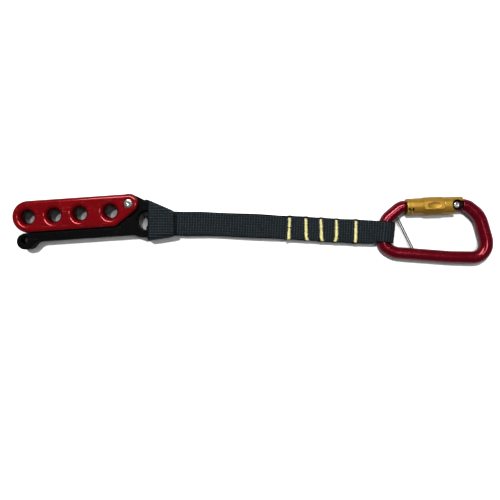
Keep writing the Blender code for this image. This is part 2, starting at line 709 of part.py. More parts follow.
def make_gate_internals(axis):
    profile = [(0, -5.8), (PLUNGER_R - 0.4, -5.8), (PLUNGER_R, -6.3), (PLUNGER_R, -10.5), (0, -10.5)]
    plunger = turned("gate_plunger", profile, 16, parent=axis, material=steel)
    plunger.rotation_euler = (0, math.radians(90), 0)
    coil("gate_spring", 11.2, 23.4, 1.3, 0.25, 9, 10, parent=axis, material=steel)
    coil("sleeve_spring", 14.8, 29.8, 5.8, 0.4, 6, 14, parent=axis, material=steel)


def make_sleeve_washer(axis):
    wall = [(5.3, -30.4), (6.3, -30.4), (6.3, -31.2), (5.3, -31.2)]
    washer = turned("sleeve_washer", wall, 24, ring=True, parent=axis, material=steel)
    washer.rotation_euler = (0, math.radians(90), 0)


def make_sleeve(axis):
    """The twist sleeve: round front, eight-sided grip, round back with a hinge cut-out."""
    grip_low, grip_high = SLEEVE_GRIP
    profile = [(0, SLEEVE_NOSE_END), (SLEEVE_FRONT_R - 0.6, SLEEVE_NOSE_END),
               (SLEEVE_FRONT_R, SLEEVE_NOSE_END - 0.6), (SLEEVE_FRONT_R, grip_high - 0.4),
               (SLEEVE_BACK_R - 0.3, grip_high - 0.9), (SLEEVE_BACK_R - 0.3, grip_low),
               (SLEEVE_BACK_R, grip_low - 0.3), (SLEEVE_BACK_R, SLEEVE_BACK_END + 0.6),
               (SLEEVE_BACK_R - 0.6, SLEEVE_BACK_END), (0, SLEEVE_BACK_END)]
    sleeve = turned("lock_sleeve", profile, 36, parent=axis, material=gold_anodise)
    sleeve.rotation_euler = (0, math.radians(-90), 0)

    corner_r = SLEEVE_GRIP_FLAT / math.cos(math.pi / 8)
    grip = cylinder("join_sleeve_grip", corner_r, (-grip_high, 0, 0), (-grip_low, 0, 0), 8, parent=axis,
                    cutter=True)
    grip.data.transform(Matrix.Rotation(math.pi / 8, 4, "X"))
    combine(sleeve, grip, "UNION")
    combine(sleeve, cylinder("cut_sleeve_bore", SLEEVE_BORE_R, (-SLEEVE_STEP, 0, 0), (20, 0, 0), 36,
                             parent=axis, cutter=True))
    combine(sleeve, cylinder("cut_sleeve_neck", SLEEVE_NARROW_R, (-60, 0, 0), (-20, 0, 0), 36,
                             parent=axis, cutter=True))
    mouth = box("cut_sleeve_mouth", (-SLEEVE_NOSE_END - 2, 1.5, -2.45), (-40.4, 12, 2.45), parent=axis,
                cutter=True)
    combine(sleeve, mouth)
    end = box("cut_sleeve_end", (-SLEEVE_INNER_END, -12, -12), (12, 4.0, 12), parent=axis, cutter=True)
    combine(sleeve, end)
    combine(sleeve, cylinder("cut_hinge_window", 5.2, (0, 0, -12), (0, 0, 12), 28, parent=axis, cutter=True))
    for number, side in enumerate((1, -1), 1):
        thumb = thumb_recess(f"cut_thumb_{number}", side, axis)
        combine(sleeve, thumb)


def thumb_recess(name, side, axis):
    """A shallow oval hollow on a flat of the grip."""
    middle = -sum(SLEEVE_GRIP) / 2
    mesh_data = bmesh.new()
    shape = Matrix.Translation((middle * MM, 0, side * (SLEEVE_GRIP_FLAT + 0.6) * MM))
    shape = shape @ Matrix.Diagonal((7.9, 3.5, 1.2, 1 / MM)) * MM
    bmesh.ops.create_uvsphere(mesh_data, u_segments=24, v_segments=12, radius=1.0, matrix=shape)
    return from_bmesh(name, mesh_data, parent=axis, cutter=True)


# ---------------------------------------------------------------- assembly

clear_scene()
parts = new_collection("escape_descender")
cutters = new_collection("cutters")

red_anodise = new_material("red_anodise", (0.19, 0.004, 0.006), 0.32, 0.9)
black_anodise = new_material("black_anodise", (0.006, 0.006, 0.007), 0.42, 0.6)
carabiner_red = new_material("carabiner_red", (0.15, 0.002, 0.008), 0.25, 0.9)
gate_alloy = new_material("gate_alloy", (0.12, 0.003, 0.01), 0.35, 0.9)
gold_anodise = new_material("gold_anodise", (0.45, 0.26, 0.03), 0.3, 0.95)
steel = new_material("steel", (0.6, 0.6, 0.6), 0.28, 1.0)
bronze = new_material("bronze", (0.42, 0.25, 0.1), 0.4, 1.0)
webbing = new_material("webbing", (0.013, 0.019, 0.023), 0.85)
thread = new_material("thread", (0.65, 0.6, 0.16), 0.7)

pivot_axis = new_axis("pivot_axis", 0, 0, 0, BODY_TILT)
make_cam_frame(pivot_axis)
make_rope_body(pivot_axis)
make_pivot(pivot_axis)
make_hitch()
make_tether()
make_eye()
make_carabiner_frame()
make_captive_wire()
gate_axis = new_axis("gate_axis", *GATE_HINGE, MID, GATE_TILT)
make_gate(gate_axis)
make_gate_rivet(gate_axis)
make_gate_internals(gate_axis)
make_sleeve_washer(gate_axis)
make_sleeve(gate_axis)
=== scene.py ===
"""Looks of the escape descender: machined metal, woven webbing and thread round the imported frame.

Shapes are worked out in millimetres in a local frame and placed in metres by a matrix.
"""
import json
import math
import random

import bmesh
import bpy
import numpy as np
from mathutils import Matrix, Vector


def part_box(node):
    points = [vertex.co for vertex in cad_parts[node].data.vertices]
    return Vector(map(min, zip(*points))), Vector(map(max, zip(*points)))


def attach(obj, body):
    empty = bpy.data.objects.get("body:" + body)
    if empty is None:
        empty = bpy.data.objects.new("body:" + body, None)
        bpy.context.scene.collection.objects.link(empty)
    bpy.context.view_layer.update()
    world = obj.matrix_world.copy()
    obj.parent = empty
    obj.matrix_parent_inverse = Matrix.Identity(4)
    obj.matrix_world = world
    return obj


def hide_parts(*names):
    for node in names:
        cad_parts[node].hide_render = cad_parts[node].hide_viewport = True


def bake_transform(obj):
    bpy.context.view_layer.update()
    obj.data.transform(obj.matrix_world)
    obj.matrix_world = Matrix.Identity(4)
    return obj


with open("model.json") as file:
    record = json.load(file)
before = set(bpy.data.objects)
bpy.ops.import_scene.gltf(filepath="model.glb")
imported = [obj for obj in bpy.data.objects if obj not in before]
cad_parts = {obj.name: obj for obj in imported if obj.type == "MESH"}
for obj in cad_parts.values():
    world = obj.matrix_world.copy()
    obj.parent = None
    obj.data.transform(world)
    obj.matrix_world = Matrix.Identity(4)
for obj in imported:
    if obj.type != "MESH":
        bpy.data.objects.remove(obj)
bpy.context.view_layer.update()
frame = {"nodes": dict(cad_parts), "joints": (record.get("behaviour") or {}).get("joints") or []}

MM = 0.001
JOINTS = {joint["name"]: joint for joint in frame["joints"]}


# ------------------------ local frames

def place(origin, direction):
    """Millimetres in a frame at origin, with local X along direction, to metres."""
    x, y = Vector((direction[0], direction[1])).normalized()
    turn = Matrix(((x, -y, 0, 0), (y, x, 0, 0), (0, 0, 1, 0), (0, 0, 0, 1)))
    return Matrix.Translation(origin) @ turn @ Matrix.Diagonal((MM, MM, MM, 1))


def across_axis(name):
    """The frame of a flexing joint: local Y is its axis."""
    joint = JOINTS[name]
    return place(joint["pos_m"], (joint["axis"][1], -joint["axis"][0]))


BODY_TILT = math.radians(3.9)
MID = JOINTS["gate_hinge"]["pos_m"][2] / MM
PIVOT = JOINTS["body_pivot"]["pos_m"]
DEVICE = place((PIVOT[0], PIVOT[1], 0), (math.cos(BODY_TILT), math.sin(BODY_TILT)))
STRAP = across_axis("hitch_flex")
EYE = across_axis("carabiner_swing")
GATE = place(JOINTS["gate_hinge"]["pos_m"], JOINTS["sleeve_slide"]["axis"])
FLAT = place((0, 0, 0), (1, 0))
SEWN_AT = (STRAP.inverted() @ Vector(JOINTS["sewn_flex"]["pos_m"])).x
EYE_AT = (STRAP.inverted() @ Vector(JOINTS["carabiner_swing"]["pos_m"])).x


# ------------------------ outlines

def arc(centre, radius, start, end, step=3.0):
    """Points on an arc, angles in degrees, both ends included."""
    count = max(2, math.ceil(abs(end - start) / step))
    angles = [math.radians(start + (end - start) * i / count) for i in range(count + 1)]
    return [(centre[0] + radius * math.cos(a), centre[1] + radius * math.sin(a)) for a in angles]


def round_corner(before, corner, after, radius, step):
    here = Vector(corner)
    back = (Vector(before) - here).normalized()
    ahead = (Vector(after) - here).normalized()
    half = back.angle(ahead) / 2
    centre = here + (back + ahead).normalized() * radius / math.sin(half)
    first = here + back * radius / math.tan(half) - centre
    last = here + ahead * radius / math.tan(half) - centre
    start = math.atan2(first.y, first.x)
    turn = math.atan2(first.x * last.y - first.y * last.x, first.dot(last))
    return arc(centre, radius, math.degrees(start), math.degrees(start + turn), step)


def rounded(corners, closed=True, step=3.0):
    """A polygon of (x, y, radius) with its corners rounded."""
    points = []
    count = len(corners)
    for i, (x, y, radius) in enumerate(corners):
        if radius == 0 or (not closed and i in (0, count - 1)):
            points.append((x, y))
        else:
            points += round_corner(corners[i - 1][:2], (x, y), corners[(i + 1) % count][:2], radius, step)
    return apart(points, closed)


def apart(points, closed=True, least=0.12):
    """Drop points that all but coincide with the one before."""
    kept = [points[0]]
    for point in points[1:]:
        if math.dist(point, kept[-1]) > least:
            kept.append(point)
    if closed and math.dist(kept[0], kept[-1]) <= least:
        kept.pop()
    return kept


def grown(outline, distance):
    """The outline moved outwards by distance, point by point."""
    points = np.array(outline, float)
    edges = np.roll(points, -1, axis=0) - points
    edges /= np.linalg.norm(edges, axis=1)[:, None]
    area = np.sum(points[:, 0] * np.roll(points[:, 1], -1) - np.roll(points[:, 0], -1) * points[:, 1])
    normals = np.stack((edges[:, 1], -edges[:, 0]), axis=1) * (1 if area > 0 else -1)
    before = np.roll(normals, 1, axis=0)
    likeness = np.sum(normals * before, axis=1)[:, None]
    mitre = (normals + before) / np.maximum(1 + likeness, 0.3)
    mitre = np.where(likeness < -0.5, -np.roll(edges, 1, axis=0), mitre)
    return points + mitre * distance


def smooth(value):
    value = np.clip(value, 0.0, 1.0)
    return value * value * (3 - 2 * value)


def quarter(radius, steps=8):
    """(inset, drop) pairs down a rounded edge, from the flat face to the side."""
    return [(radius * (1 - math.sin(a)), radius * (1 - math.cos(a)))
            for a in (math.pi / 2 * i / steps for i in range(steps + 1))]


# ------------------------ meshes

def new_object(name, verts, faces):
    mesh = bpy.data.meshes.new(name)
    mesh.from_pydata([tuple(map(float, v)) for v in verts], [], faces)
    obj = bpy.data.objects.new(name, mesh)
    bpy.context.scene.collection.objects.link(obj)
    return obj


def ring_faces(rings, count, closed=True):
    """Quads between consecutive rings of count points."""
    width = count if closed else count - 1
    faces = []
    for start in range(0, (rings - 1) * count, count):
        for i in range(width):
            j = (i + 1) % count
            faces.append((start + i, start + j, start + count + j, start + count + i))
    return faces


def loft(name, rings):
    """A closed solid through rings of equal point counts."""
    count = len(rings[0])
    verts = [tuple(point) for ring in rings for point in ring]
    faces = ring_faces(len(rings), count)
    faces.append(tuple(range(count)))
    faces.append(tuple(range(len(verts) - count, len(verts))))
    return outward(new_object(name, verts, faces))


def outward(obj):
    shape = bmesh.new()
    shape.from_mesh(obj.data)
    bmesh.ops.recalc_face_normals(shape, faces=shape.faces)
    shape.to_mesh(obj.data)
    shape.free()
    return obj


def prism(name, outline, low, high, edge=0.0, steps=8):
    """An extruded outline with rounded edges; a negative edge flares it, for a cutter."""
    profile = [(0.0, high), (0.0, low)]
    if edge > 0:
        profile = [(-inset, high - drop) for inset, drop in quarter(edge, steps)]
        profile += [(-inset, low + drop) for inset, drop in reversed(quarter(edge, steps))]
    if edge < 0:
        flare = [(inset, high - drop) for drop, inset in quarter(-edge, steps)]
        profile = [(-edge, high + 1)] + flare[::-1]
        profile += [(offset, low + high - z) for offset, z in flare] + [(-edge, low - 1)]
    rings = []
    for offset, z in profile:
        rings.append([(x, y, z) for x, y in grown(outline, offset)])
    return loft(name, rings)


def lathe(name, profile, segments=96, axis="Z", ring=False):
    """A solid of revolution; profile is (radius, height), on the axis at both ends unless ring."""
    turn = np.linspace(0, 2 * math.pi, segments, endpoint=False)
    verts, rows = [], []
    for radius, height in profile:
        if radius == 0:
            rows.append([len(verts)] * segments)
            verts.append((0, 0, height))
            continue
        rows.append(list(range(len(verts), len(verts) + segments)))
        verts += [(radius * math.cos(t), radius * math.sin(t), height) for t in turn]
    if ring:
        rows.append(rows[0])
    faces = []
    for first, second in zip(rows, rows[1:]):
        for i in range(segments):
            j = (i + 1) % segments
            loop = []
            for v in (first[i], first[j], second[j], second[i]):
                if v not in loop:
                    loop.append(v)
            if len(loop) > 2:
                faces.append(tuple(loop))
    if axis == "X":
        verts = [(z, y, -x) for x, y, z in verts]
    return outward(new_object(name, verts, faces))


def pipe_arrays(points, radii, sides, cyclic=False):
    """Vertices and faces of a round bar along points."""
    path = np.array(points, float)
    count = len(path)
    if cyclic:
        tangents = np.roll(path, -1, axis=0) - np.roll(path, 1, axis=0)
    else:
        tangents = np.gradient(path, axis=0)
    tangents /= np.linalg.norm(tangents, axis=1)[:, None]
    side = np.cross(tangents[0], (0.0, 0.0, 1.0))
    if np.linalg.norm(side) < 0.1:
        side = np.cross(tangents[0], (0.0, 1.0, 0.0))
    radii = np.broadcast_to(radii, (count,))
    turn = np.linspace(0, 2 * math.pi, sides, endpoint=False)
    verts = []
    for point, tangent, radius in zip(path, tangents, radii):
        side = side - tangent * np.dot(side, tangent)
        side /= np.linalg.norm(side)
        up = np.cross(side, tangent)
        verts.append(point + radius * (np.cos(turn)[:, None] * side + np.sin(turn)[:, None] * up))
    faces = ring_faces(count, sides)
    total = count * sides
    if cyclic:
        last = total - sides
        faces += [(last + i, last + (i + 1) % sides, (i + 1) % sides, i) for i in range(sides)]
    else:
        faces += [tuple(range(sides)), tuple(range(total - sides, total))]
    return np.concatenate(verts), faces


def pipe(name, points, radii, sides=24, cyclic=False):
    return outward(new_object(name, *pipe_arrays(points, radii, sides, cyclic)))


def many_pipes(name, runs, sides=6):
    """One object of several round threads, each (points, radii)."""
    verts, faces = [], []
    for points, radii in runs:
        more, loops = pipe_arrays(points, radii, sides)
        faces += [tuple(i + len(verts) for i in loop) for loop in loops]
        verts += list(more)
    return outward(new_object(name, verts, faces))


def block(name, low, high):
    corners = [(low[0], low[1]), (high[0], low[1]), (high[0], high[1]), (low[0], high[1])]
    return prism(name, corners, low[2], high[2])


def settle(obj):
    """Apply an object's modifiers."""
    bpy.context.view_layer.update()
    evaluated = obj.evaluated_get(bpy.context.evaluated_depsgraph_get())
    mesh = bpy.data.meshes.new_from_object(evaluated)
    old = obj.data
    obj.modifiers.clear()
    obj.data = mesh
    bpy.data.meshes.remove(old)
    return obj


def combine(obj, other, operation="DIFFERENCE"):
    """Cut or join with another solid, which is used up."""
    boolean = obj.modifiers.new("combine", "BOOLEAN")
    boolean.operation = operation
    boolean.solver = "EXACT"
    boolean.object = other
    settle(obj)
    bpy.data.objects.remove(other)
    return obj


def dress(obj, where, material, sharp=32.0):
    """Place a finished solid, smooth it and give it its material."""
    obj.data.transform(where)
    outward(obj)
    obj.data.shade_smooth()
    obj.data.set_sharp_from_angle(angle=math.radians(sharp))
    weighted = obj.modifiers.new("weighted", "WEIGHTED_NORMAL")
    weighted.keep_sharp = True
    settle(obj)
    obj.data.materials.clear()
    obj.data.materials.append(material)
    return obj


def stand_in(piece, body, *nodes):
    """Let a piece ride on a body, in place of the named nodes."""
    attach(piece, body)
    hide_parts(*nodes)


# ------------------------ materials

class Look:
    """A node material, built up step by step."""

    def __init__(self, name):
        self.material = bpy.data.materials.new(name)
        self.material.use_nodes = True
        self.tree = self.material.node_tree
        self.surface = self.tree.nodes["Principled BSDF"]

    def put(self, node, socket, value):
        if isinstance(value, bpy.types.NodeSocket):
            self.tree.links.new(value, node.inputs[socket])
        else:
            node.inputs[socket].default_value = value

    def add(self, kind, inputs, output=0, **settings):
        node = self.tree.nodes.new("ShaderNode" + kind)
        for key, value in settings.items():
            setattr(node, key, value)
        for socket, value in inputs.items():
            self.put(node, socket, value)
        return node.outputs[output]

    def math(self, operation, first, second=0.0):
        return self.add("Math", {0: first, 1: second}, operation=operation)

    def span(self, value, low, high, to_low=0.0, to_high=1.0):
        return self.add("MapRange", {0: value, 1: low, 2: high, 3: to_low, 4: to_high},
                        interpolation_type="SMOOTHSTEP")

    def noise(self, where, scale, detail=2.0, roughness=0.5):
        inputs = {"Vector": where, "Scale": scale, "Detail": detail, "Roughness": roughness}
        return self.add("TexNoise", inputs)

    def mix(self, share, first, second):
        node = self.tree.nodes.new("ShaderNodeMix")
        node.data_type = "RGBA"
        self.put(node, 0, share)
        self.put(node, 6, first)
        self.put(node, 7, second)
        return node.outputs[2]

    def stretched(self, where, scale, turn=0.0):
        return self.add("Mapping", {"Vector": where, "Scale": scale, "Rotation": (0, 0, turn)})

    def finish(self, **values):
        for socket, value in values.items():
            self.put(self.surface, socket.replace("_", " "), value)
        return self.material


def shade_of(color, factor):
    return (color[0] * factor, color[1] * factor, color[2] * factor, 1.0)


def metal(name, color, rough, metallic, coat=0.0, grain=0.12, wear=0.3, bare=(0.55, 0.5, 0.47), dents=0.0,
          brushed=0.0, shine=0.5, hollow_shade=0.7, sides=0.0):
    """Machined metal: mottled finish, fine grain, hair scratches and rubbed edges.

    Painted shade darkens sheltered places, and sides paints shade on walls that stand upright in them; both
    also lower the shine and coat there.
    """
    look = Look(name)
    where = look.add("TexCoord", {}, "Object")
    blotch = look.noise(where, 95.0, 3.0)
    grit = look.noise(where, 5200.0, 2.0)
    lines_a = look.noise(look.stretched(where, (90, 2600, 500), 0.35), 1.0, 1.0)
    lines_b = look.noise(look.stretched(where, (2300, 110, 500), -0.2), 1.0, 1.0)
    hair = look.math("ADD", look.span(lines_a, 0.7, 0.76), look.span(lines_b, 0.72, 0.78))
    soft_normal = look.add("Bevel", {"Radius": 0.0006}, samples=4)
    geometry = look.add("NewGeometry", {}, "Normal")
    facing = look.add("VectorMath", {0: soft_normal, 1: geometry}, output=1, operation="DOT_PRODUCT")
    edge = look.span(facing, 0.985, 0.86)
    patch = look.span(look.noise(where, 700.0, 3.0), 0.42, 0.62)
    rubbed = look.math("MULTIPLY", look.math("MULTIPLY", edge, patch), wear)
    tone = look.mix(blotch, shade_of(color, 0.86), shade_of(color, 1.16))
    tone = look.mix(look.math("MULTIPLY", hair, 0.12), tone, (*bare, 1.0))
    tone = look.mix(rubbed, tone, (*bare, 1.0))
    # Painted shade: sheltered places, such as the insides of holes, are darkened towards a deep shade of the
    # colour.
    open_sky = look.add("AmbientOcclusion", {"Distance": 0.012}, output="AO", samples=6)
    painted_hollow_shade = look.math("MULTIPLY", look.span(open_sky, 0.55, 0.1), hollow_shade)
    tone = look.mix(painted_hollow_shade, tone, shade_of(color, 0.12))
    roughness = look.math("ADD", look.span(blotch, 0.3, 0.7, rough - 0.04, rough + 0.05),
                          look.math("MULTIPLY", hair, 0.1))
    # Shine and coat are lowered where the shade is painted.
    painted_shade_mask = look.span(open_sky, 0.6, 0.15)
    if sides:
        # Painted shade: upright walls, most of all in sheltered places, are darkened to a deep shade of the
        # colour and lose their shine.
        upright = look.add("SeparateXYZ", {0: geometry}, output="Z")
        painted_wall_shade = look.math("MULTIPLY", look.span(look.math("ABSOLUTE", upright), 0.93, 0.5),
                          look.span(open_sky, 0.95, 0.6, 0.2 * sides, sides))
        tone = look.mix(painted_wall_shade, tone, shade_of(color, 0.06))
        painted_shade_mask = look.math("MAXIMUM", painted_shade_mask, painted_wall_shade)
    shine = look.span(painted_shade_mask, 0.0, 1.0, shine, shine * 0.08)
    coat = look.span(painted_shade_mask, 0.0, 1.0, coat, 0.0)
    bump = look.add("Bump", {"Strength": grain, "Distance": 0.00004, "Height": grit})
    if dents:
        hollow = look.noise(where, 620.0, 1.0)
        bump = look.add("Bump", {"Strength": dents, "Distance": 0.0004, "Height": hollow, "Normal": bump})
    if brushed:
        drawn = look.noise(look.stretched(where, (120, 4200, 4200)), 1.0, 2.0)
        bump = look.add("Bump", {"Strength": brushed, "Distance": 0.00006, "Height": drawn, "Normal": bump})
    return look.finish(Base_Color=tone, Roughness=roughness, Metallic=metallic, Normal=bump,
                       Coat_Weight=coat, Coat_Roughness=0.12, Specular_IOR_Level=shine)


PICK = 2.55                     # mm between the cross ribs of the weave
WARP = 2.5                      # mm between the lengthwise rows


def woven(name, color, rib_highlight_color):
    """Webbing cloth; the attribute strip holds mm along, mm across and mm from the selvedge."""
    look = Look(name)
    strip = look.add("Attribute", {}, output="Vector", attribute_name="strip")
    split = look.tree.nodes.new("ShaderNodeSeparateXYZ")
    look.put(split, 0, strip)
    along, across, margin = split.outputs
    rib = look.math("PINGPONG", look.math("DIVIDE", along, PICK), 0.5)
    row = look.math("PINGPONG", look.math("DIVIDE", across, WARP), 0.5)
    on_rib = look.span(rib, 0.17, 0.02)
    on_row = look.span(row, 0.15, 0.02)
    uneven = look.noise(strip, 0.55, 3.0)
    coarse = look.noise(strip, 0.09, 2.0)
    # The weave's ribs and rows are painted lighter: the real weave pattern, drawn as a painted highlight on
    # the yarn crowns.
    rib_pattern_and_highlight = look.math("MAXIMUM", look.math("MULTIPLY", on_rib, 0.95), look.math("MULTIPLY", on_row, 0.5))
    rib_pattern_and_highlight = look.math("MULTIPLY", rib_pattern_and_highlight, look.span(uneven, 0.3, 0.62, 0.25, 1.0))
    inside = look.span(margin, 0.5, 1.7)
    rib_pattern_and_highlight = look.math("MULTIPLY", rib_pattern_and_highlight, inside)
    fibre = look.noise(look.stretched(strip, (0.9, 9.0, 1.0)), 1.0, 2.0, 0.6)
    cross_fibre = look.noise(look.stretched(strip, (9.0, 0.9, 1.0)), 1.0, 2.0, 0.6)
    fuzz = look.math("ADD", look.math("MULTIPLY", fibre, look.math("SUBTRACT", 1.0, on_rib)),
                     look.math("MULTIPLY", cross_fibre, on_rib))
    base = look.mix(look.span(coarse, 0.3, 0.7), shade_of(color, 0.72), shade_of(color, 1.25))
    base = look.mix(look.span(fuzz, 0.35, 0.7), base, shade_of(color, 1.9))
    base = look.mix(look.span(margin, 1.5, 0.7), base, shade_of(color, 0.45))
    base = look.mix(rib_pattern_and_highlight, base, (*rib_highlight_color, 1.0))
    bump = look.add("Bump", {"Strength": 0.6, "Distance": 0.00012, "Height": fuzz})
    return look.finish(Base_Color=base, Roughness=look.span(fuzz, 0.3, 0.7, 0.62, 0.86), Normal=bump,
                       Sheen_Weight=0.04, Sheen_Roughness=0.45, Sheen_Tint=(0.55, 0.68, 0.78, 1.0),
                       Specular_IOR_Level=0.12)


def spun(name, color, dark):
    """Sewing thread with a twist, uneven dye and painted shade in the grooves of the twist."""
    look = Look(name)
    where = look.add("TexCoord", {}, "Object")
    twist_and_groove_shade = look.noise(look.stretched(where, (5200, 2400, 5200), 0.6), 1.0, 2.0)
    dye = look.noise(where, 420.0, 3.0)
    base = look.mix(look.span(dye, 0.35, 0.65), (*dark, 1.0), (*color, 1.0))
    # Painted shade: the grooves of the twist are darkened.
    base = look.mix(look.span(twist_and_groove_shade, 0.62, 0.4), base, shade_of(dark, 0.55))
    bump = look.add("Bump", {"Strength": 0.5, "Distance": 0.0001, "Height": twist_and_groove_shade})
    return look.finish(Base_Color=base, Roughness=0.62, Normal=bump, Sheen_Weight=0.2, Sheen_Roughness=0.4)


def paper(name, color):
    """The floor, which polished metal sees much darker than the camera does, with painted shade where it lies
    deep under the parts.
    """
    look = Look(name)
    where = look.add("TexCoord", {}, "Object")
    base = look.mix(look.noise(where, 30.0, 2.0), shade_of(color, 0.985), shade_of(color, 1.0))
    glossy = look.add("LightPath", {}, output="Is Glossy Ray")
    base = look.mix(glossy, base, shade_of(color, 0.3))
    # Painted shade: floor seen through deep openings, such as the rope holes, is darkened to grey.
    open_sky = look.add("AmbientOcclusion", {"Distance": 0.03}, output="AO", samples=8)
    base = look.mix(look.span(open_sky, 0.46, 0.24), base, shade_of(color, 0.17))
    return look.finish(Base_Color=base, Roughness=0.9, Specular_IOR_Level=0.1)


red_anodise = metal("red_anodise", (0.200, 0.0018, 0.0046), 0.20, 0.60,
                    coat=0.6, wear=0.05, sides=0.92, shine=0.12)
black_anodise = metal("black_anodise", (0.0012, 0.0012, 0.0014), 0.42, 0.0,
                      wear=0.05, bare=(0.10, 0.10, 0.10), shine=0.05)
carabiner_red = metal("carabiner_red", (0.135, 0.0012, 0.0080), 0.20, 0.66,
                      coat=0.3, grain=0.06, wear=0.05, sides=0.6, shine=0.3)
# The gate's red is a much darker copy of the carabiner's: painted shade for a part seen only inside the
# sleeve.
gate_alloy = metal("gate_alloy", (0.014, 0.0015, 0.003), 0.32, 0.6, wear=0.1)
gold_anodise = metal("gold_anodise", (0.37, 0.205, 0.026), 0.34, 0.70,
                     bare=(0.8, 0.7, 0.5), wear=0.15, sides=0.3)
steel = metal("steel", (0.30, 0.29, 0.28), 0.24, 0.9, brushed=0.2, bare=(0.5, 0.5, 0.5))
wire_steel = metal("wire_steel", (0.10, 0.095, 0.088), 0.30, 0.8, brushed=0.2, bare=(0.4, 0.4, 0.4), wear=0.1)
rivet_steel = metal("rivet_steel", (0.50, 0.49, 0.46), 0.20, 0.85, dents=0.7, bare=(0.8, 0.8, 0.8))
bronze = metal("bronze", (0.42, 0.25, 0.1), 0.35, 1.0, bare=(0.7, 0.5, 0.3))
webbing = woven("webbing", (0.0018, 0.0026, 0.0032), (0.023, 0.032, 0.038))
thread = spun("thread", (0.76, 0.71, 0.36), (0.58, 0.53, 0.18))
melted = metal("melted_webbing", (0.005, 0.007, 0.008), 0.45, 0.0, grain=0.5, wear=0.0, shine=0.3)

SIMPLE_NODES = {"pivot_bush": bronze, "gate_plunger": steel, "sleeve_washer": steel}
for node_name, material in SIMPLE_NODES.items():
    node = frame["nodes"][node_name]
    node.data.materials.clear()
    node.data.materials.append(material)


# ------------------------ descender

BODY_LENGTH = 112.3             # all in the descender's own frame, from the pivot
BODY_TOP = 9.4
BODY_BOTTOM = -21.3
BODY_EDGE_R = 3.5
PIVOT_END_R = 9.5
FLANK_ANGLE = math.radians(-55.0)
BODY_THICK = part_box("rope_body")[1][2] / MM
HOLE_R = 5.6                    # waist of the rounded rope holes
HOLE_LIP = 5.0                  # how far the rounding reaches outwards and down
HOLE_DEPTH = 8.2
HOLES_U = (-97.5, -72.2, -47.3, -18.0)
HOLES_V = -6.4
FRAME_HALF = 6.0                # half the thickness of the cam frame
FRAME_EDGE_R = 1.2
ARM_BOTTOM = -30.3
LOBE_U = -102.1                 # the eye lobe at the end of the arm
LOBE_R = 7.75
LOBE_HOLE_R = 3.4
LOBE_HOLE_EDGE = 0.9
LOBE_HOLE_RISE = 1.4
BAR_RIGHT = 31.0
WINDOW = (6.7, -26.3, 26.8, -7.7)
TAB_R = 9.9                     # the tongue of the frame inside the rope body
TAB_HALF = 4.0
BAR_HALF = 3.8                  # half the thickness where the webbing runs round
HEAD_R = 4.1
SHANK_R = 2.6


def rope_body():
    flank_at_end = (PIVOT_END_R - PIVOT_END_R * math.cos(FLANK_ANGLE)) / math.sin(FLANK_ANGLE)
    flank_at_bottom = (PIVOT_END_R - BODY_BOTTOM * math.sin(FLANK_ANGLE)) / math.cos(FLANK_ANGLE)
    end_r = (BODY_TOP - BODY_BOTTOM) / 2 - 0.02
    outline = rounded((
        (-BODY_LENGTH, BODY_TOP, end_r), (-BODY_LENGTH, BODY_BOTTOM, end_r),
        (flank_at_bottom, BODY_BOTTOM, 8.0), (PIVOT_END_R, flank_at_end, PIVOT_END_R - 0.02),
        (PIVOT_END_R, PIVOT_END_R - 0.1, PIVOT_END_R - 0.12),
    ), step=4.0)
    body = prism("rope_body_shell", outline, 0, BODY_THICK, BODY_EDGE_R, 10)
    lip = []
    for drop, inset in reversed(quarter(1.0, 14)):
        lip.append((HOLE_R + HOLE_LIP * inset, BODY_THICK - HOLE_DEPTH * drop))
    wide = HOLE_R + HOLE_LIP
    profile = [(0, BODY_THICK + 1), (wide, BODY_THICK + 1)] + lip
    profile += [(r, BODY_THICK - z) for r, z in reversed(lip)] + [(wide, -1), (0, -1)]
    for u in HOLES_U:
        hole = lathe("hole", profile, 96)
        hole.data.transform(Matrix.Translation((u, HOLES_V, 0)))
        combine(body, hole)
    slot_r = TAB_R + 0.4
    half = TAB_HALF + 0.35
    low = math.degrees(math.asin(-2 / slot_r))
    high = -360 + math.degrees(math.acos(-7.5 / slot_r))
    outline = [(-7.5, 12), (12, 12), (12, -2)] + arc((0, 0), slot_r, low, high)
    combine(body, prism("slot", outline, MID - half, MID + half))
    seat = HEAD_R + 0.3
    bore = [(0, 18), (seat + 0.5, 18), (seat + 0.5, 17.05), (seat, 16.5), (seat, 15.1), (SHANK_R + 0.3, 15.1),
            (SHANK_R + 0.3, 1.9), (seat, 1.9), (seat, 0.5), (seat + 0.5, -0.05), (seat + 0.5, -1), (0, -1)]
    combine(body, lathe("bore", bore, 72))
    return dress(body, DEVICE, red_anodise)


